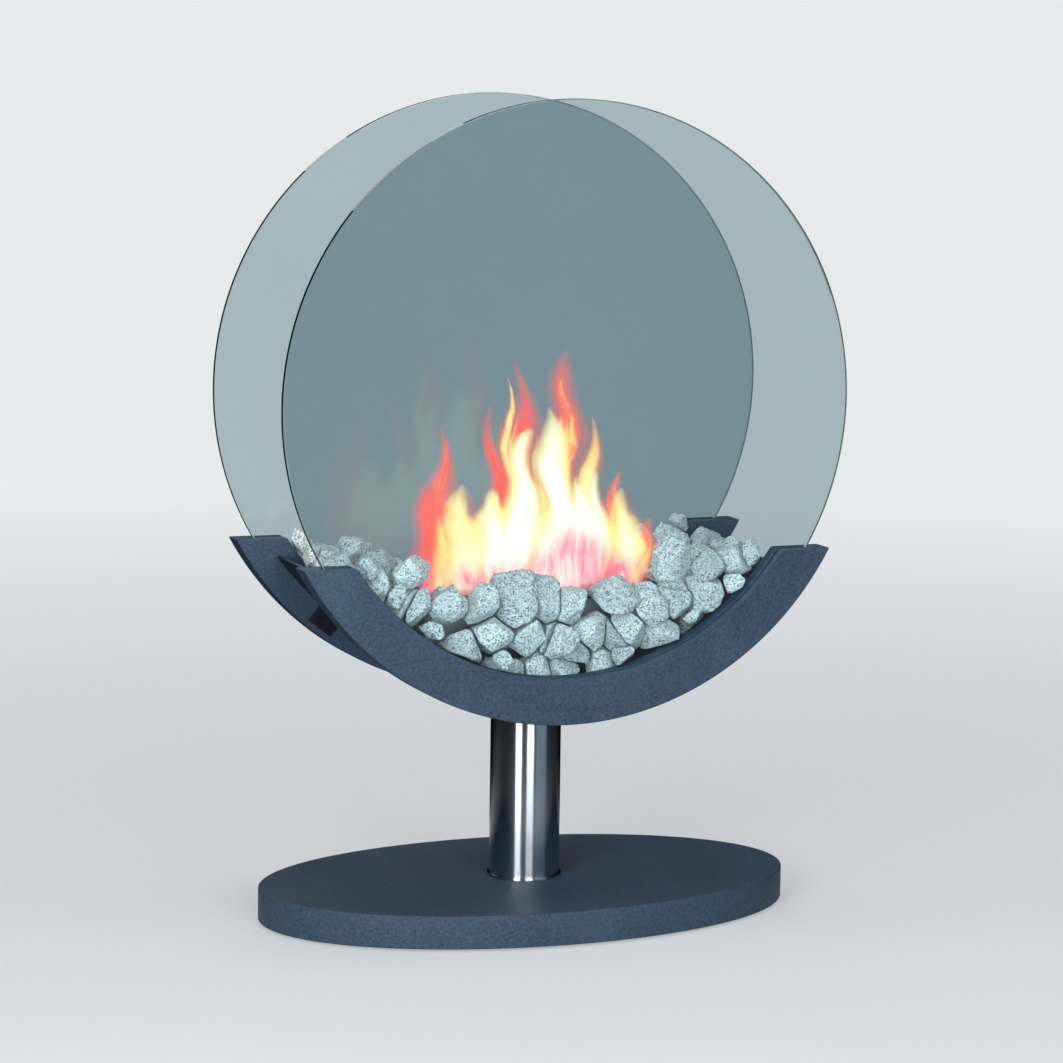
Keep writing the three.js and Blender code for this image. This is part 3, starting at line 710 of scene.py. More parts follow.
class SubAssembly:
    """Pieces that belong together."""

    materials: dict[Finish, bpy.types.Material] = {}

    def build(self) -> None:
        """Makes the pieces and dresses the solids that show as they are."""
        raise NotImplementedError

    @staticmethod
    def material_of(finish: Finish) -> bpy.types.Material:
        """The finish's material, made when it is first asked for.

        Args:
            finish: The finish.

        Returns:
            Its material.
        """
        if finish not in SubAssembly.materials:
            SubAssembly.materials[finish] = finish.material()
        return SubAssembly.materials[finish]

    def add(
        self,
        name: str,
        shape: Surface | bpy.types.Mesh,
        finish: Finish,
        body: str,
        nodes: Sequence[str] = (),
        crease: float = 35.0,
        bevel: float = 0.0,
    ) -> bpy.types.Object:
        """Makes a piece from a shape that is already in place.

        Args:
            name: The piece's name.
            shape: Its surface, or its mesh in metres.
            finish: Its finish.
            body: The body that it moves with.
            nodes: The solids that it stands for.
            crease: Edges sharper than this many degrees stay sharp.
            bevel: Width of the rounding of sharp edges, in millimetres, or 0.

        Returns:
            The new object.
        """
        mesh = shape.mesh(name) if isinstance(shape, Surface) else shape
        piece = bpy.data.objects.new(name, mesh)
        bpy.context.scene.collection.objects.link(piece)
        mesh.materials.clear()
        mesh.materials.append(self.material_of(finish))
        mesh.polygons.foreach_set("use_smooth", np.ones(len(mesh.polygons), bool))
        mesh.set_sharp_from_angle(angle=math.radians(crease))
        if bevel:
            rounding = piece.modifiers.new("edge_rounding", "BEVEL")
            rounding.width = bevel * MM
            rounding.segments = 2
            rounding.limit_method = "ANGLE"
            rounding.angle_limit = math.radians(crease)
            rounding.harden_normals = True
        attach(piece, body)
        if nodes:
            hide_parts(*nodes)
        LOG.info("%s: %d faces, on %s", name, len(mesh.polygons), body)
        return piece

    def rounded_copy(self, name: str, node: str, finish: Finish, body: str, bevel: float) -> None:
        """Stands for a solid with a merged copy of it whose edges are rounded.

        Args:
            name: The piece's name.
            node: The solid that it stands for.
            finish: Its finish.
            body: The body that it moves with.
            bevel: Width of the rounding in millimetres.
        """
        merged = bmesh.new()
        merged.from_mesh(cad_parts[node].data)
        bmesh.ops.remove_doubles(merged, verts=merged.verts, dist=1e-6)
        flat = math.radians(0.5)
        bmesh.ops.dissolve_limit(
            merged, angle_limit=flat, verts=merged.verts, edges=merged.edges, use_dissolve_boundaries=False
        )
        mesh = bpy.data.meshes.new(name)
        merged.to_mesh(mesh)
        merged.free()
        self.add(name, mesh, finish, body, (node,), bevel=bevel)

    def dress(self, finish: Finish, *nodes: str) -> None:
        """Gives solids that show as they are a finish.

        Args:
            finish: The finish.
            *nodes: The solids.
        """
        for node in nodes:
            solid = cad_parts[node]
            solid.data.materials.clear()
            solid.data.materials.append(self.material_of(finish))
            LOG.info("%s: finished as %s", node, finish.name)

    @staticmethod
    def mark(mesh: bpy.types.Mesh, name: str, values: np.ndarray) -> None:
        """Stores a number at each point of a mesh, for a material to read."""
        mesh.attributes.new(name, "FLOAT", "POINT").data.foreach_set("value", values.astype(np.float32))


@dataclass
class OvalBase(SubAssembly):
    """Powder-coated oval plate on a thin rubber pad."""

    half_length: float = 235.0
    half_depth: float = 142.0
    bottom: float = 2.0
    top: float = 30.0
    edge: float = 1.5  # rounding of the rim's two edges
    hole: float = 5.4  # radius of the tie rod's hole
    counterbore: float = 18.0  # radius of the hole for the nut underneath
    counterbore_top: float = 15.0
    top_rings: int = 12  # rings of faces on the upper side
    last_ring: float = 0.97  # the outermost one's share of the way to the rim
    steps: int = 288

    def rim(self) -> list[tuple[float, float, float]]:
        """Rings round the edge: an inset i from the oval at height z, with a quarter circle at each edge.

        Returns:
            Half length, half depth and height of each ring.
        """
        quarter = np.radians(np.linspace(90, 0, 6))
        upper = [(self.edge * (1 - math.cos(a)), self.top - self.edge * (1 - math.sin(a))) for a in quarter]
        lower = [(inset, self.bottom + self.top - height) for inset, height in reversed(upper)]
        return [(self.half_length - i, self.half_depth - i, z) for i, z in upper + lower]

    def build(self) -> None:
        """Makes the plate as one closed ring from the rod's hole to the rim, and dresses the pad."""
        long, deep = self.half_length - self.hole, self.half_depth - self.hole
        shares = np.linspace(0.0, self.last_ring, self.top_rings)
        top = [(self.hole + share * long, self.hole + share * deep, self.top) for share in shares]
        under = [
            (self.counterbore, self.counterbore, self.bottom),
            (self.counterbore, self.counterbore, self.counterbore_top),
            (self.hole, self.hole, self.counterbore_top),
        ]
        plate = ring_surface([*top, *self.rim(), *under], self.steps)
        self.add("oval_base_plate", plate, COAT, "stand", ("base_plate",), crease=40)
        self.dress(RUBBER, "floor_pad")


@dataclass
class Column(SubAssembly):
    """Stainless tube on a turned foot, with the saddle and tie rod inside it."""

    tube_radius: float = 30.15
    wall: float = 2.0
    tube_bottom: float = 32.5
    tube_top: float = 186.0
    foot_radius: float = 32.0  # of the foot's flange
    foot_bottom: float = 30.0
    spigot_gap: float = 0.3  # between the foot's spigot and the tube
    spigot_top: float = 50.5
    bore: float = 5.4  # radius of the foot's bore
    tube_edge: float = 0.35  # rounding of the tube's ends
    foot_edge: float = 0.4
    saddle_edge: float = 0.5
    nut_edge: float = 0.4
    steps: int = 192

    def build(self) -> None:
        """Turns the tube and foot, and dresses the hidden parts."""
        inner = self.tube_radius - self.wall
        spigot = inner - self.spigot_gap
        tube = [
            (inner, self.tube_bottom),
            (self.tube_radius, self.tube_bottom),
            (self.tube_radius, self.tube_top),
            (inner, self.tube_top),
        ]
        foot = [
            (self.bore, self.foot_bottom),
            (self.foot_radius, self.foot_bottom),
            (self.foot_radius, self.tube_bottom),
            (spigot, self.tube_bottom),
            (spigot, self.spigot_top),
            (self.bore, self.spigot_top),
        ]
        for name, node, profile, edge in (
            ("stainless_tube", "column_tube", tube, self.tube_edge),
            ("turned_foot", "column_foot", foot, self.foot_edge),
        ):
            self.add(name, turned_ring(eased(profile, edge), self.steps), POLISHED, "stand", (node,))
        self.rounded_copy("saddle", "column_saddle", BLACKENED, "stand", self.saddle_edge)
        for node in ("lower_nut", "upper_nut"):
            self.rounded_copy(f"{node}_hexagon", node, PLAIN_STEEL, "stand", self.nut_edge)
        self.dress(PLAIN_STEEL, "tie_rod", "lower_washer", "upper_washer")


class Side(Enum):
    """Front or rear of the fireplace, with the sign of its Y."""

    FRONT = -1
    REAR = 1

    @property
    def word(self) -> str:
        """The side's name in lower case."""
        return self.name.lower()


@dataclass
class GlassHolder(SubAssembly):
    """One slotted crescent with its disc, glazing strip and lugs. Distances are from the middle plane."""

    side: Side
    axis_height: float = 445.0  # of the disc's centre
    outer: float = 266.0  # crescent's outer radius
    inner: float = 227.5  # crescent's inner radius
    near: float = 79.0  # distance of its inner face
    far: float = 104.0  # distance of its outer face
    slot_radius: float = 252.1  # at which the slot ends
    slot_near: float = 90.9  # distance of the slot's nearer wall
    slot_far: float = 97.5  # distance of its farther wall
    tip_height: float = 318.0  # of the crescent's two level ends
    edge: float = 0.9  # rounding of the crescent's edges
    lug_edge: float = 0.3
    arc_steps: int = 220
    glass_radius: float = 250.0
    glass_near: float = 91.2  # distance of the disc's inner face
    glass_far: float = 97.2  # distance of its outer face
    arris: float = 0.8  # width of the ground edge
    border: float = 12.0  # width of the faces between the ground edge and the flat in the middle
    disc_steps: int = 320

    def crescent(self) -> Surface:
        """The slotted section carried round the disc's axis.

        Returns:
            The crescent's surface.
        """
        section = np.array(
            [
                (self.outer, self.near),
                (self.outer, self.far),
                (self.inner, self.far),
                (self.inner, self.slot_far),
                (self.slot_radius, self.slot_far),
                (self.slot_radius, self.slot_near),
                (self.inner, self.slot_near),
                (self.inner, self.near),
            ]
        )
        section[:, 1] *= self.side.value
        return level_arc(section, self.axis_height, self.tip_height, self.arc_steps)

    def disc(self) -> Surface:
        """Disc turned on its own axis: rings of radius r at depth y, closed by a flat face on each side.

        Returns:
            The disc's surface.
        """
        ground = self.glass_radius - self.arris
        profile = np.array(
            [
                (ground - self.border, self.glass_near),
                (ground, self.glass_near),
                (self.glass_radius, self.glass_near + self.arris),
                (self.glass_radius, self.glass_far - self.arris),
                (ground, self.glass_far),
                (ground - self.border, self.glass_far),
            ]
        )
        radius, depth, turn = profile[:, :1], profile[:, 1:] * self.side.value, full_turn(self.disc_steps)
        points = grid_points(radius * np.cos(turn), depth, self.axis_height + radius * np.sin(turn))
        return Surface.grid(points, False, True).closed_ends(*points.shape[:2]).outward()

    def build(self) -> None:
        """Makes the crescent and the disc, and dresses the strip, lugs and screws."""
        word = self.side.word
        name, solid = f"{word}_slotted_crescent", f"{word}_crescent"
        self.add(name, self.crescent(), COAT, "stand", (solid,), crease=40, bevel=self.edge)
        self.add(f"{word}_glass_disc", self.disc(), GLASS, f"{word}_disc", (f"{word}_glass",), crease=20)
        self.dress(SILICONE, f"{word}_seal")
        for end in ("left", "right"):
            corner = f"{word}_{end}"
            self.rounded_copy(f"{corner}_angle_lug", f"{corner}_lug", BLACKENED, "stand", self.lug_edge)
            self.dress(BLACKENED, f"{corner}_lug_screw")


@dataclass
class Trough(SubAssembly):
    """Curved sheet between the crescents."""

    axis_height: float = GlassHolder.axis_height
    outer: float = 244.0  # outer radius of the sheet
    inner: float = 241.0  # inner radius of the sheet
    half_depth: float = 78.7
    tip_height: float = 303.0  # of its two level ends
    edge: float = 0.5  # rounding of its edges
    arc_steps: int = 200

    def build(self) -> None:
        """Carries the sheet's section round the axis."""
        corners = [
            (self.outer, -self.half_depth),
            (self.outer, self.half_depth),
            (self.inner, self.half_depth),
            (self.inner, -self.half_depth),
        ]
        section = np.array(eased(corners, self.edge, 2))
        sheet = level_arc(section, self.axis_height, self.tip_height, self.arc_steps)
        self.add("curved_trough", sheet, BLACKENED, "stand", ("tray",), crease=50)


@dataclass
class Burner(SubAssembly):
    """Fuel tank with its absorber, slotted lid and sliding damper, on two channels."""

    edge: float = 0.5  # rounding of the sheet parts' edges

    def build(self) -> None:
        """Rounds the edges of every part."""
        for name, node, finish, body in (
            ("fuel_tank", "burner_tank", PLAIN_STEEL, "burner"),
            ("slotted_lid", "burner_lid", BLACKENED, "burner"),
            ("sliding_damper", "damper_plate", PLAIN_STEEL, "damper"),
            ("turned_knob", "damper_knob", PLAIN_STEEL, "damper"),
            ("fibre_block", "absorber_block", FIBRE, "burner"),
            ("left_channel", "left_burner_support", BLACKENED, "stand"),
            ("right_channel", "right_burner_support", BLACKENED, "stand"),
        ):
            self.rounded_copy(name, node, finish, body, self.edge)


# ---------------------------------------------------------------- stones


@dataclass(frozen=True)
class Place:
    """Even place of a stone in the heap."""

    x: float
    y: float
    z: float
    bed: str  # front, rear, left or right
    loose: bool = False  # True for a stone on top that is a solid of its own
    in_trough: bool = False  # True between the crescents' inner faces
    small: bool = False  # True under a crescent's rim


@dataclass(frozen=True)
class Stone:
    """One broken stone."""

    number: int  # sets its chances
    piece: str  # the solid that it belongs to
    growth: float  # how much larger its lump is than a loose stone's
    centre: np.ndarray
    size: float  # its reach against its neighbours
    in_trough: bool  # True between the crescents' inner faces

    @property
    def lump_seed(self) -> int:
        """First of the numbers that its lump's chances come from."""
        return 1000 + 50 * self.number

    @property
    def split_seed(self) -> int:
        """First of the numbers that its splitting's chances come from."""
        return 9000 + 40 * self.number

    def part_seed(self, part: int) -> float:
        """First of the numbers that the chances of one of its parts come from."""
        return 500.0 + 97 * self.number + 13 * part


@dataclass
class StoneHeap(SubAssembly):
    """Granite round the burner: each stone is the space inside many planes, rounded, cut and roughened."""

    TONE = "stone_tone"

    axis_height: float = GlassHolder.axis_height
    trough_radius: float = Trough.inner
    rim_radius: float = GlassHolder.inner
    trough_half_depth: float = Trough.half_depth
    glass_distance: float = GlassHolder.glass_near
    burner_edge: float = 122.5  # half length of the space kept for the burner
    burner_side: float = 53.5  # half depth of that space
    pitch: float = 30.0  # distance between loose stones
    first_row: float = 222.0  # height of the first row's centres
    row_rise: float = 27.0
    bed_rows: tuple[int, ...] = (4, 7, 10)  # stones in each row of a long bed, from the lowest
    wall_inset: float = 14.5  # how far a row's last stone lies from the trough
    rim_inset: float = 12.5  # how far it lies from the crescents' rim
    scatter: float = 6.5  # how far a stone moves from its even place
    mean_size: float = 15.0  # mean reach of a stone against its neighbours
    size_spread: float = 4.5
    neighbourhood: float = 2.5  # how many pitches away a neighbour may be
    mean_reach: float = 20.5  # mean distance of a loose stone's corners from its middle
    stretch_spread: float = 0.5  # how unlike a lump's three measures are
    reach_spread: float = 0.35  # how unlike its corners' distances are
    bed_growth: float = 1.3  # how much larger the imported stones' lumps are
    corners: int = 11  # of a stone's lump
    gap: float = 0.4  # left round every stone
    wall_step: float = 8.0  # degrees from one flat against the round wall to the next
    wall_gap: float = 0.3
    side_gap: float = 0.6
    wedge_inset: float = 9.0  # how far the small stones under the rims lie from rim and glass
    wedge_heights: tuple[float, ...] = (233.0, 260.0, 288.0, 311.0)
    wedge_growth: float = 0.62  # their size against a loose stone's
    whole_share: float = 0.75  # packed stones that aren't split in two
    chip_place: float = 0.48  # middle of a split stone's part, as a share of its room
    flats: int = 7  # broken faces of each stone beside those that it shares with its neighbours
    flat_depth: float = 0.54  # least share of the stone's reach at which a flat cuts it
    flat_spread: float = 0.38
    joint_sharpness: float = 130.0  # of the edges between the shared faces
    flat_sharpness: float = 150.0  # of the edges with the broken faces
    lumps: tuple[tuple[float, float], ...] = ((0.9, 7.0), (0.7, 2.2))  # depth and width of the roughness
    rough_limit: float = 0.25  # greatest roughness as a share of the reach
    tone_low: float = 0.88  # tone of the darkest stone
    tone_spread: float = 0.32
    cells: int = 21  # squares along one edge of the cube that the directions come from
    directions: np.ndarray = field(init=False)
    quads: np.ndarray = field(init=False)

    def __post_init__(self) -> None:
        """Spreads directions over a cube's faces: a square (a, b) gives (1, tan a, tan b), made unit."""
        angle = np.linspace(-math.pi / 4, math.pi / 4, self.cells + 1)
        a, b = np.meshgrid(np.tan(angle), np.tan(angle), indexing="ij")
        face_points = (self.cells + 1) ** 2
        index = np.arange(face_points).reshape(self.cells + 1, self.cells + 1)
        corners = (index[:-1, :-1], index[1:, :-1], index[1:, 1:], index[:-1, 1:])
        square = np.stack(corners, axis=-1).reshape(-1, 4)
        points, quads = [], []
        for face, (axis, sign) in enumerate((axis, sign) for axis in range(3) for sign in (1, -1)):
            flat = grid_points(float(sign), a, b * sign).reshape(-1, 3)
            points.append(np.roll(flat, axis, axis=1))
            quads.append(square + face * face_points)
        every = np.concatenate(points)
        _, first, place = np.unique(np.round(every, 6), axis=0, return_index=True, return_inverse=True)
        self.directions = every[first] / np.linalg.norm(every[first], axis=1, keepdims=True)
        self.quads = place.reshape(-1)[np.concatenate(quads)]

    def heights(self) -> list[float]:
        """Heights of the rows of the beds and of the loose stones on top."""
        return [self.first_row + self.row_rise * k for k in range(len(self.bed_rows) + 1)]

    def half_chord(self, radius: float, height: float) -> float:
        """Half the width of a circle round the glass axis at a height."""
        return math.sqrt(radius**2 - (self.axis_height - height) ** 2)

    def long_bed(self, bed: str, side: int) -> list[Place]:
        """Rows between the burner and the glass, the lowest one in the trough, with loose stones on top.

        Args:
            bed: The bed's name.
            side: The sign of its Y.

        Returns:
            Places of its stones.
        """
        outer_y = side * (self.burner_side + self.glass_distance) / 2
        inner_y = side * (self.burner_side + self.trough_half_depth) / 2
        wall, rim = self.trough_radius - self.wall_inset, self.rim_radius - self.rim_inset
        *heights, top = self.heights()
        places: list[Place] = []
        for count, z in zip(self.bed_rows, heights):
            low = z == self.first_row
            end = self.half_chord(wall if low else rim, z)
            y = inner_y if low else outer_y
            places += [Place(x, y, z, bed, in_trough=low) for x in np.linspace(-end, end, count)]
        high = self.half_chord(rim, top)
        loose_x = (-high, self.pitch - high, high - 2 * self.pitch, high - self.pitch, high)
        return places + [Place(x, outer_y, top, bed, loose=True) for x in loose_x]

    def short_bed(self, bed: str, side: int) -> list[Place]:
        """Two rows at one end of the burner, with loose stones on top.

        Args:
            bed: The bed's name.
            side: The sign of its X.

        Returns:
            Places of its stones.
        """
        _, *heights, top = self.heights()
        high = self.half_chord(self.trough_radius - self.wall_inset, top)
        loose_x = (high - self.pitch, high)
        places: list[Place] = []
        for y in (-self.pitch, 0.0, self.pitch):
            for z in heights:
                middle = (self.burner_edge + self.half_chord(self.trough_radius, z)) / 2
                places.append(Place(side * middle, y, z, bed, in_trough=True))
            places += [Place(side * x, y, top, bed, loose=True, in_trough=True) for x in loose_x]
        return places

    def under_rim(self, bed: str, side: int) -> list[Place]:
        """Small stones between the glass and both ends of a crescent's inner rim.

        Args:
            bed: The bed that they belong to.
            side: The sign of its Y.

        Returns:
            Places of the small stones.
        """
        places: list[Place] = []
        for z in self.wedge_heights:
            end = self.half_chord(self.rim_radius - self.wedge_inset, z)
            y = side * (self.glass_distance - self.wedge_inset)
            places += [Place(x, y, z, bed, small=True) for x in (-end, end)]
        return places

    def scattered(self) -> list[Stone]:
        """Lays out all the stones, and moves each one by chance, half as far in depth.

        Returns:
            The stones.
        """
        long, short = (("front", -1), ("rear", 1)), (("left", -1), ("right", 1))
        places: list[Place] = []
        for beds, lay in ((long, self.long_bed), (short, self.short_bed), (long, self.under_rim)):
            for bed, side in beds:
                places += lay(bed, side)
        stones: list[Stone] = []
        loose_count = 0
        for number, place in enumerate(places):
            loose_count += place.loose
            piece = f"stone_{loose_count:02d}" if place.loose else f"stone_bed_{place.bed}"
            shift = self.scatter * (2 * chance(7 * number + np.arange(3)) - 1) * (1, 0.5, 1)
            size = self.mean_size + self.size_spread * float(2 * chance(7 * number + 3) - 1)
            growth = 1.0 if place.loose else self.bed_growth
            if place.small:
                growth = self.wedge_growth
                shift, size = shift * growth, size * growth
            centre = np.array((place.x, place.y, place.z)) + shift
            stones.append(Stone(number, piece, growth, centre, size, place.in_trough))
        return stones

    def lump_planes(self, stone: Stone) -> Planes:
        """Planes round the stone's lump: corners on a spiral, stretched, turned and joined by their hull,
        which is the planes through three corners that have all the corners on one side.

        Args:
            stone: The stone.

        Returns:
            Normals and offsets of the planes.
        """
        start = stone.lump_seed
        stretch = 1 + self.stretch_spread * (chance(start + np.arange(3)) - 0.4)
        tilt, roll = (math.pi * float(chance(start + k)) for k in (3, 4))
        i = np.arange(self.corners)
        level = 1 - (2 * i + 1) / self.corners
        girth = np.sqrt(1 - level**2)
        turn = i * math.pi * (3 - math.sqrt(5))
        length = self.mean_reach * stone.growth * (1 + self.reach_spread * (chance(start + 10 + i) - 0.5))
        corner = grid_points(girth * np.cos(turn), girth * np.sin(turn), level) * stretch * length[:, None]
        for angle, axis in ((tilt, "Z"), (roll, "X")):
            corner = corner @ np.array(Matrix.Rotation(angle, 3, axis)).T
        corner += stone.centre
        triple = np.array([(p, q, r) for p in i for q in i for r in i if p < q < r])
        a, b, c = corner[triple[:, 0]], corner[triple[:, 1]], corner[triple[:, 2]]
        normal = np.cross(b - a, c - a)
        normal /= np.linalg.norm(normal, axis=1, keepdims=True)
        offset = (normal * a).sum(axis=1)
        normal *= np.where(normal @ stone.centre > offset, -1, 1)[:, None]
        offset = (normal * a).sum(axis=1)
        whole = (normal @ corner.T <= offset[:, None] + 1e-6).all(axis=1)
        return normal[whole], offset[whole]

    def wall_planes(self, stone: Stone) -> Planes:
        """Flats against the round wall below, the glass or crescent beside it, and the burner.

        Args:
            stone: The stone.

        Returns:
            Normals and offsets of the planes.
        """
        x, y, z = stone.centre
        radius = self.trough_radius if stone.in_trough else self.rim_radius
        limit = radius * math.cos(math.radians(self.wall_step / 2)) - self.wall_gap
        angle = math.atan2(z - self.axis_height, x) + np.radians(self.wall_step) * np.arange(-2, 3)
        normals = grid_points(np.cos(angle), 0.0, np.sin(angle))
        offsets = limit + normals[:, 2] * self.axis_height
        beside = np.array((0.0, math.copysign(1, y), 0.0))
        depth = (self.trough_half_depth if stone.in_trough else self.glass_distance) - self.side_gap
        if abs(y) > self.burner_side:
            inward, clear = -beside, -self.burner_side
        else:
            inward, clear = np.array((-math.copysign(1, x), 0.0, 0.0)), -self.burner_edge
        return np.vstack([normals, beside, inward]), np.append(offsets, (depth, clear))

    def neighbour_planes(self, stone: Stone, stones: list[Stone]) -> Planes:
        """Planes between a stone and those near it, at the place where both reaches meet.

        Args:
            stone: The stone.
            stones: All the stones.

        Returns:
            Normals and offsets of the planes.
        """
        near = self.neighbourhood * self.pitch
        others = [s for s in stones if s is not stone and np.linalg.norm(s.centre - stone.centre) < near]
        away = np.array([s.centre for s in others]) - stone.centre
        distance = np.linalg.norm(away, axis=1)
        normals = away / distance[:, None]
        sizes = np.array([s.size for s in others])
        share = distance / 2 + (stone.size**2 - sizes**2) / (2 * distance)
        return normals, normals @ stone.centre + share

    def chips(self, stone: Stone, stones: list[Stone]) -> list[tuple[np.ndarray, np.ndarray, np.ndarray]]:
        """Splits the space of a few packed stones in two by a plane through its middle, for smaller chips.

        Args:
            stone: The stone.
            stones: All the stones.

        Returns:
            Middle, normals and offsets of each part.
        """
        found = (self.lump_planes(stone), self.wall_planes(stone), self.neighbour_planes(stone, stones))
        normals = np.vstack([n for n, _ in found])
        offsets = np.concatenate([o for _, o in found]) - self.gap
        split = 2 * chance(stone.split_seed + np.arange(3)) - 1
        split /= np.linalg.norm(split)
        if stone.growth <= 1.0 or chance(stone.split_seed + 5) < self.whole_share:
            return [(stone.centre, normals, offsets)]
        parts, least = [], 1e-3
        for way in (split, -split):
            facing = normals @ way
            ahead = (offsets - normals @ stone.centre) / np.maximum(facing, least)
            room = np.where(facing > least, ahead, np.inf).min()
            middle = stone.centre + way * room * self.chip_place
            every = np.vstack([normals, -way])
            parts.append((middle, every, np.append(offsets, -way @ stone.centre - self.gap)))
        return parts

    def reach(self, normals: np.ndarray, room: np.ndarray, sharpness: float) -> np.ndarray:
        """Distance from a middle to the rounded space inside planes: (sum over planes of r^-p)^(-1/p), where
        r is the room before a plane divided by how squarely the direction faces it, and p the sharpness.

        Args:
            normals: Unit normals of the planes.
            room: Distance from the middle to each plane.
            sharpness: How sharp the edges are.

        Returns:
            One distance for each direction.
        """
        nearness = np.maximum(self.directions @ normals.T, 0) / room
        return (nearness**sharpness).sum(axis=1) ** (-1 / sharpness)

    def chip_surface(self, part: tuple[np.ndarray, np.ndarray, np.ndarray], seed: float) -> Surface:
        """Closed rough surface of one part: the rounded space, cut by a few random flats, less some noise.

        Args:
            part: Middle, normals and offsets.
            seed: Number that its chances come from.

        Returns:
            The part's surface.
        """
        middle, normals, offsets = part
        room = offsets - normals @ middle
        first = self.reach(normals, room, self.joint_sharpness)
        flats = 2 * chance(seed + np.arange(3 * self.flats)).reshape(self.flats, 3) - 1
        flats /= np.linalg.norm(flats, axis=1, keepdims=True)
        support = (self.directions * first[:, None] @ flats.T).max(axis=0)
        depth = support * (self.flat_depth + self.flat_spread * chance(seed + 50 + np.arange(self.flats)))
        radius = self.reach(np.vstack([normals, flats]), np.append(room, depth), self.flat_sharpness)
        place = middle + self.directions * radius[:, None]
        rough = sum(high * lattice_noise(place, wide, seed + k) for k, (high, wide) in enumerate(self.lumps))
        radius = radius - np.minimum(rough, radius * self.rough_limit)
        return Surface(middle + self.directions * radius[:, None], (self.quads,)).outward()

    def build(self) -> None:
        """Makes one piece for each solid, its stones joined, each with a tone of its own."""
        stones = self.scattered()
        pieces: dict[str, list[tuple[Surface, float]]] = {}
        for stone in stones:
            for k, part in enumerate(self.chips(stone, stones)):
                seed = stone.part_seed(k)
                tone = self.tone_low + self.tone_spread * float(chance(seed))
                pieces.setdefault(stone.piece, []).append((self.chip_surface(part, seed), tone))
        for node, parts in pieces.items():
            mesh = Surface.together([part for part, _ in parts]).mesh(f"{node}_granite")
            tones = [np.full(len(part.points), tone) for part, tone in parts]
            self.mark(mesh, self.TONE, np.concatenate(tones))
            self.add(f"{node}_granite", mesh, GRANITE, "stand", (node,), crease=180)


# ---------------------------------------------------------------- flame


@dataclass(frozen=True)
class Tongue:
    """One tongue of flame."""

    root: tuple[float, float]  # X and Y of its foot
    tip: tuple[float, float, float]
    width: float  # its greatest half width
    heat: float  # how far it is towards white, from 0 to 1
    sway: float  # its sideways swing
    belly: float = 0.6  # power that moves its widest place up: 0.6 for a quarter of the way, 1.3 for half
    foot: float = 278.5  # height of its foot


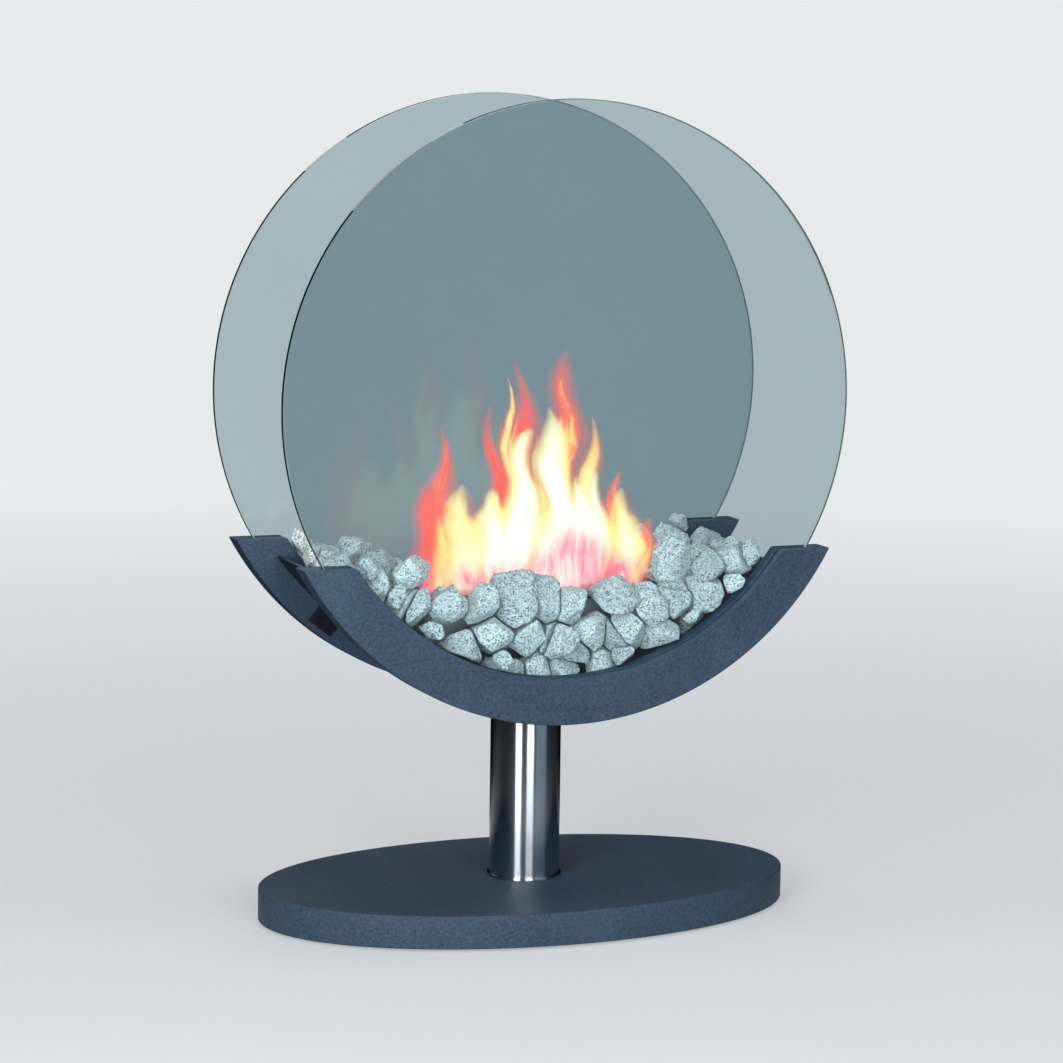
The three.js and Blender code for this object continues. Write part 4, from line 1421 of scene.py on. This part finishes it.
@dataclass
class Flame(SubAssembly):
    """Flame over the burner's slot, of thin leaves that cross on each tongue's middle line."""

    HEAT = "flame_heat"
    FADE = "flame_fade"
    FOOT = "flame_foot"

    tongues: tuple[Tongue, ...] = (
        Tongue((-98, -22), (-101, -22, 378), 19, 0.06, 3, 0.8),
        Tongue((-92, -18), (-84, -18, 424), 15, 0.14, 4, 0.9),
        Tongue((-86, -24), (-90, -22, 350), 21, 0.38, 3),
        Tongue((-66, -20), (-71, -20, 374), 30, 0.66, 3, 0.8),
        Tongue((-52, -24), (-50, -24, 352), 26, 0.60, 3, 0.7),
        Tongue((-32, -24), (-49, -26, 442), 9, 0.04, 4, 1.1),
        Tongue((-30, -22), (-42, -24, 416), 17, 0.14, 3, 0.9),
        Tongue((-20, -16), (-30, -16, 468), 6, 0.50, 4, 1.2),
        Tongue((-12, -18), (-17, -18, 478), 17, 0.05, 4, 1.4),
        Tongue((26, -16), (24, -14, 486), 20, 0.07, 4, 1.5),
        Tongue((28, -20), (25, -18, 458), 8, 0.42, 4, 1.2),
        Tongue((38, -20), (50, -20, 429), 10, 0.52, 5, 1.8),
        Tongue((20, -24), (19, -24, 428), 14, 0.60, 3, 1.2),
        Tongue((-24, -22), (-11, -22, 418), 27, 0.95, 3, 0.7),
        Tongue((-38, -20), (-46, -20, 368), 26, 0.90, 3, 0.8),
        Tongue((28, -20), (4, -20, 438), 27, 1.00, 3, 0.75),
        Tongue((40, -22), (38, -20, 374), 27, 1.00, 3, 0.8),
        Tongue((6, -20), (8, -20, 360), 30, 0.85, 3, 0.8),
        Tongue((2, -32), (-1, -30, 392), 8, 0.22, 3, 0.9),
        Tongue((54, -22), (53, -22, 380), 15, 0.90, 3, 1.0),
        Tongue((68, -20), (71, -20, 382), 11, 0.24, 3, 0.9),
        Tongue((78, -20), (77, -20, 366), 27, 0.66, 3, 0.8),
        Tongue((88, -20), (106, -20, 340), 18, 0.34, 3),
    )
    leaves: int = 3  # of each tongue
    first_spin: float = -0.3  # radians that the first leaf is turned
    thickness: float = 0.5  # half the thickness of a leaf in its middle
    across: int = 12  # steps across one face of a leaf
    along: int = 48  # steps up a leaf
    slot_middle: float = -21.0  # Y of the slot's middle line
    blush_height: float = 312.0  # up to which the flame's foot is pink
    blush_rise: float = 30.0  # how much higher that is at its highest
    blush_x: float = 30.0  # of the highest place
    blush_spread: float = 30.0
    blush_edge: float = 20.0  # height over which the pink ends
    curl: float = 4.5  # how far the leaves curl to either side
    curl_foot: float = 300.0  # height at which they begin to
    curl_rise: float = 80.0  # height over which they come to curl fully
    fuel_height: float = 262.0  # of the absorber's top
    low: float = 0.02  # share of the flame's height to be left when the damper is shut

    def outline(self, tongue: Tongue, v: np.ndarray) -> tuple[np.ndarray, np.ndarray, np.ndarray]:
        """Middle line and half width at a share v of a tongue's height: the line goes from root to tip as
        v^1.3 with a sideways swing, 0.6 times as far in depth, and the half width is the greatest times
        sin(pi (0.14 + 0.86 v^belly))^0.7, with two ripples up its edges.

        Args:
            tongue: The tongue.
            v: Shares of its height, from 0 to 1.

        Returns:
            X and Y of the middle line, and the half width.
        """
        phase = 2 * math.pi * float(chance(self.tongues.index(tongue) * 3.7))
        swing = tongue.sway * np.sin(phase + 2 * math.pi * 1.3 * v) * v * (1.2 - v)
        ease = v**1.3
        middle_x = tongue.root[0] + (tongue.tip[0] - tongue.root[0]) * ease + swing
        middle_y = tongue.root[1] + (tongue.tip[1] - tongue.root[1]) * ease + 0.6 * swing
        half = tongue.width * np.maximum(np.sin(math.pi * (0.14 + 0.86 * v**tongue.belly)), 0) ** 0.7
        ripple = 1 + 0.13 * np.sin(9 * v + phase) + 0.07 * np.sin(21 * v + 2 * phase)
        return middle_x, middle_y, np.maximum(half * ripple, 0.05)

    def heat(self, x: np.ndarray, z: np.ndarray) -> np.ndarray:
        """Heat at places seen from the front: the greatest that any tongue gives there, which is 0.14 + its
        own heat times 1.25 - 0.55 v at its middle line and falls to its edges as 1 - |u|^1.7, so that joined
        tongues have no seam between them.

        Args:
            x: Places to the right.
            z: Heights.

        Returns:
            Heat from 0 to 1.
        """
        most = np.zeros(np.broadcast_shapes(x.shape, z.shape))
        for tongue in self.tongues:
            v = np.clip((z - tongue.foot) / (tongue.tip[2] - tongue.foot), 0, 1)
            middle, _, half = self.outline(tongue, v)
            inner = np.clip(1 - np.abs((x - middle) / half) ** 1.7, 0, 1) * (z < tongue.tip[2])
            most = np.maximum(most, inner * (0.14 + tongue.heat * (1.25 - 0.55 * v)))
        return np.clip(most, 0, 1)

    def leaf(self, tongue: Tongue, spin: float) -> tuple[Surface, dict[str, np.ndarray]]:
        """One leaf of a tongue: as wide as the tongue's outline, and thickest in its middle, as 1 - u^2. It
        fades to its edges as (1 - u^2)^1.15, and at its foot and tip. All the leaves curl alike, by
        sin(z/13 + x/24), and blush up to a height that is a bell curve of x.

        Args:
            tongue: The tongue that it belongs to.
            spin: Angle of the leaf round the middle line.

        Returns:
            The closed surface, and the heat, fade and foot share of each point.
        """
        v = np.linspace(0, 1, self.along + 1)[:, None]
        around = full_turn(2 * self.across)[None, :]
        u, face = np.cos(around), np.sign(np.round(np.sin(around), 9))
        middle_x, middle_y, half = self.outline(tongue, v)
        side = u * half
        thick = face * self.thickness * (1 - u**2) * (1 - 0.9 * v)
        x = middle_x + side * math.cos(spin) - thick * math.sin(spin)
        y = middle_y + side * math.sin(spin) + thick * math.cos(spin)
        z = np.broadcast_to(tongue.foot + (tongue.tip[2] - tongue.foot) * v, side.shape)
        fade = (1 - u**2) ** 1.15 * np.clip(v / 0.12, 0.3, 1) * np.clip((1 - v) / 0.3, 0, 1)
        blush = self.blush_height + self.blush_rise * np.exp(-(((x - self.blush_x) / self.blush_spread) ** 2))
        foot = np.clip((blush - z) / self.blush_edge, 0, 1)
        curl = self.curl * np.clip((z - self.curl_foot) / self.curl_rise, 0, 1) * np.sin(z / 13 + x / 24)
        points = grid_points(x + curl, y, z)
        surface = Surface.grid(points, False, True).closed_ends(*points.shape[:2]).outward()
        values = {self.HEAT: self.heat(x, z), self.FADE: fade, self.FOOT: foot}
        return surface, {name: np.broadcast_to(value, side.shape).ravel() for name, value in values.items()}

    def build(self) -> None:
        """Joins all the leaves into one piece over the burner."""
        spins = [math.pi * k / self.leaves + self.first_spin for k in range(self.leaves)]
        made = [self.leaf(tongue, spin) for tongue in self.tongues for spin in spins]
        mesh = Surface.together([surface for surface, _ in made]).mesh("ethanol_flame")
        for name in (self.HEAT, self.FADE, self.FOOT):
            self.mark(mesh, name, np.concatenate([values[name] for _, values in made]))
        flame = self.add("ethanol_flame", mesh, FIRE, "burner", crease=180)
        flame.visible_shadow = flame.visible_diffuse = False
        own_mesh(flame)


# ---------------------------------------------------------------- studio


@dataclass(frozen=True)
class Softbox:
    """A rectangular lamp that faces the fireplace."""

    name: str
    azimuth: float  # degrees round the fireplace, as the camera's
    elevation: float  # degrees above the horizon
    distance: float  # metres from the middle
    width: float  # in metres
    height: float  # in metres
    radiance: float  # brightness of its face
    colour: Colour
    pieces: tuple[str, ...] = ()  # the only pieces that it lights, or none for all


@dataclass
class Studio:
    """Pale floor, pale surroundings, black screens that only reflections see, soft lamps and the camera."""

    azimuth: float = -21.76  # camera's degrees round the fireplace
    elevation: float = 8.08  # camera's degrees above the horizon
    distance: float = 3155.99  # camera's, in millimetres
    focal: float = 3715.79  # focal length in pixels of the square picture
    pixels: float = 1063.0  # side of the picture
    roll: float = -0.76  # camera's, in degrees
    sensor: float = 36.0  # width in millimetres
    clip: tuple[float, float] = (0.05, 60.0)  # metres from where to where the camera sees
    aim_x: float = 2.73  # sideways place of the aim
    aim_z: float = 326.97  # height of the aim
    pale: Colour = (0.80, 0.82, 0.83)  # the surroundings
    room: float = 0.15  # strength of the surroundings for light on the object
    screen_radius: float = 2.75  # metres from the column to the black screens
    screen_height: float = 3.4  # in metres
    screen_foot: float = 0.33  # metres from the column to where they begin on the floor
    screen_lift: float = 0.002  # metres between them and the floor
    screen_colour: Colour = (0.006, 0.007, 0.009)
    floor_rings: tuple[float, ...] = (0.02, 0.5, 1.0, 2.0, 4.0, 9.0, 24.0)  # radii in metres
    floor_grain: float = 260.0  # grains per metre
    floor_tones: tuple[Colour, Colour] = ((0.84, 0.86, 0.87), (0.88, 0.90, 0.91))  # of the grain
    floor_dim: Colour = (0.22, 0.23, 0.24)  # the floor for the light on the object
    floor_fade: tuple[float, float] = (0.3, 2.6)  # metres over which it runs out into the surroundings
    floor_glow: float = 0.45  # its share of their colour where that begins
    steps: int = 96  # points round the floor and the screens
    lamps: tuple[Softbox, ...] = (
        Softbox("left_softbox", -43.0, 10.0, 2.3, 0.70, 1.4, 10.6, (0.95, 0.98, 1.0)),
        Softbox("right_softbox", -5.0, 10.0, 2.3, 0.88, 1.4, 5.8, (0.95, 0.98, 1.0)),
        Softbox(
            "low_panel", 31.0, -2.0, 2.3, 1.5, 0.42, 1.2, (0.55, 0.78, 1.0), ("stainless_tube", "turned_foot")
        ),
        Softbox("side_panel", 36.0, 38.0, 2.3, 1.3, 1.0, 1.1, (0.75, 0.88, 1.0)),
        Softbox("overhead_softbox", -10.0, 86.0, 2.0, 0.9, 0.9, 3.2, (1.0, 1.0, 1.0)),
        Softbox("rear_softbox", 175.0, 35.0, 2.6, 1.4, 1.0, 1.6, (0.95, 0.98, 1.0)),
    )

    @staticmethod
    def axes(azimuth: float, elevation: float) -> tuple[np.ndarray, np.ndarray, np.ndarray]:
        """Right, up and back of something that looks at the fireplace from two angles in degrees.

        Args:
            azimuth: Angle round the fireplace.
            elevation: Angle above the horizon.

        Returns:
            The three unit directions.
        """
        a, e = math.radians(azimuth), math.radians(elevation)
        back = np.array((math.sin(a) * math.cos(e), -math.cos(a) * math.cos(e), math.sin(e)))
        right = np.array((math.cos(a), math.sin(a), 0.0))
        return right, np.cross(back, right), back

    @staticmethod
    def put(name: str, data: bpy.types.ID, *columns: np.ndarray) -> bpy.types.Object:
        """Places a camera or lamp by its right, up and back directions and its place in metres.

        Args:
            name: The object's name.
            data: The camera or lamp.
            *columns: The three directions and the place.

        Returns:
            The new object.
        """
        thing = bpy.data.objects.new(name, data)
        matrix = Matrix.Identity(4)
        for number, column in enumerate(columns):
            for row in range(3):
                matrix[row][number] = column[row]
        thing.matrix_world = matrix
        bpy.context.scene.collection.objects.link(thing)
        return thing

    def camera(self) -> None:
        """Sets the camera from the angles, with its roll about the line of sight."""
        right, up, back = self.axes(self.azimuth, self.elevation)
        place = right * self.aim_x + np.array((0, 0, self.aim_z)) + back * self.distance
        r = math.radians(self.roll)
        rolled_right = math.cos(r) * right - math.sin(r) * up
        rolled_up = math.sin(r) * right + math.cos(r) * up
        data = bpy.data.cameras.new("photo_camera")
        data.sensor_width = self.sensor
        data.lens = self.sensor * self.focal / self.pixels
        data.clip_start, data.clip_end = self.clip
        camera = self.put("photo_camera", data, rolled_right, rolled_up, back, place * MM)
        bpy.context.scene.camera = camera

    def lamp(self, box: Softbox) -> None:
        """Hangs a softbox: a lamp's power is its radiance times pi times its area.

        Args:
            box: The softbox.
        """
        data = bpy.data.lights.new(box.name, "AREA")
        data.shape = "RECTANGLE"
        data.size, data.size_y = box.width, box.height
        data.energy = box.radiance * math.pi * box.width * box.height
        data.color = box.colour
        right, up, back = self.axes(box.azimuth, box.elevation)
        place = np.array((0, 0, self.aim_z * MM)) + back * box.distance
        lamp = self.put(box.name, data, right, up, back, place)
        lamp.visible_camera = lamp.visible_transmission = False
        if box.pieces:
            lit = bpy.data.collections.new(f"{box.name}_pieces")
            for name in box.pieces:
                lit.objects.link(bpy.data.objects[name])
            lamp.light_linking.receiver_collection = lit

    @staticmethod
    def seen(tree: NodeTree) -> bpy.types.NodeSocket:
        """One where the surroundings themselves are seen: by the camera, through glass and in reflections.

        Args:
            tree: The node tree to work in.

        Returns:
            A socket that is 1 or 0.
        """
        path = tree.add("ShaderNodeLightPath").outputs
        direct = tree.math("MAXIMUM", path["Is Camera Ray"], path["Is Transmission Ray"])
        return tree.math("MAXIMUM", direct, path["Is Glossy Ray"])

    @staticmethod
    def backdrop(name: str, mesh: bpy.types.Mesh, look: Look) -> bpy.types.Object:
        """Adds a piece of the studio.

        Args:
            name: Its name.
            mesh: Its mesh, in metres.
            look: Its material.

        Returns:
            The new object.
        """
        mesh.materials.append(look.material)
        piece = bpy.data.objects.new(name, mesh)
        bpy.context.scene.collection.objects.link(piece)
        piece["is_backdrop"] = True
        return piece

    def screens(self) -> None:
        """Black cloth on the floor and round the lamps, which only reflections see: the profile's points
        turned round the Z axis, (r sin a, -r cos a, z) at azimuth a."""
        radius = np.array([self.screen_foot, self.screen_radius, self.screen_radius])
        height = np.array([self.screen_lift, self.screen_lift, self.screen_height])
        angle = full_turn(self.steps)[:, None]
        points = grid_points(radius * np.sin(angle), -radius * np.cos(angle), height) / MM
        look = Look("black_cloth")
        look.set(Base_Color=rgba(self.screen_colour), Roughness=1.0, Specular_IOR_Level=0.0)
        mesh = Surface.grid(points, True, False).mesh("black_screens")
        screens = self.backdrop("black_screens", mesh, look)
        screens.visible_camera = screens.visible_diffuse = screens.visible_transmission = False
        screens.visible_shadow = screens.visible_volume_scatter = False

    def surroundings(self) -> None:
        """Pale wherever they are seen, and dimmer for the light on the object."""
        world = bpy.data.worlds.new("pale_studio")
        world.use_nodes = True
        tree = NodeTree(world.node_tree)
        shade = world.node_tree.nodes["Background"].inputs
        tree.feed(shade["Color"], rgba(self.pale))
        tree.feed(shade["Strength"], tree.spread(self.seen(tree), 0.0, 1.0, self.room, 1.0))
        bpy.context.scene.world = world

    def floor(self) -> None:
        """Round pale floor that runs out into the surroundings' colour: rings of growing radius."""
        radii, turn = np.array(self.floor_rings)[:, None] / MM, full_turn(self.steps)
        points = grid_points(radii * np.cos(turn), radii * np.sin(turn), 0.0)
        mesh = Surface.grid(points, False, True).capped([np.arange(self.steps)]).mesh("studio_floor")
        if mesh.polygons[0].normal.z < 0:
            mesh.flip_normals()
        look = Look("pale_floor")
        far = look.add("ShaderNodeVectorMath", {0: look.place()}, operation="LENGTH").outputs["Value"]
        seen = self.seen(look)
        grain = look.noise(look.place(), self.floor_grain)
        near = look.blend(grain, *(rgba(colour) for colour in self.floor_tones))
        tone = look.blend(seen, rgba(self.floor_dim), near)
        matt = look.add("ShaderNodeBsdfDiffuse", {"Color": tone})
        glow = look.add("ShaderNodeEmission", {"Color": rgba(self.pale), "Strength": 1.0})
        share = look.math("MULTIPLY", look.spread(far, *self.floor_fade, self.floor_glow, 1.0), seen)
        look.mix(share, matt.outputs[0], glow.outputs[0])
        self.backdrop("studio_floor", mesh, look)

    def build(self) -> None:
        """Sets up everything round the fireplace."""
        self.camera()
        self.surroundings()
        self.floor()
        self.screens()
        for box in self.lamps:
            self.lamp(box)
        scene = bpy.context.scene
        scene.view_settings.view_transform = "Standard"
        scene.cycles.transparent_max_bounces = 96
        scene.cycles.transmission_bounces = 16
        scene.cycles.max_bounces = 16
        LOG.info("studio: %d lamps", len(self.lamps))


def main() -> None:
    """Builds the fireplace from the floor up, then the studio."""
    logging.basicConfig(level=logging.INFO, format="%(name)s: %(message)s")
    solid_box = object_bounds()
    parts: tuple[SubAssembly | Studio, ...] = (
        OvalBase(),
        Column(),
        GlassHolder(Side.FRONT),
        GlassHolder(Side.REAR),
        Trough(),
        Burner(),
        StoneHeap(),
        Flame(),
        Studio(),
    )
    for part in parts:
        part.build()
    boxes = {
        name: [list(corner) for corner in box] for name, box in (("cad", solid_box), ("visual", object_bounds()))
    }


if __name__ == "__main__":
    main()
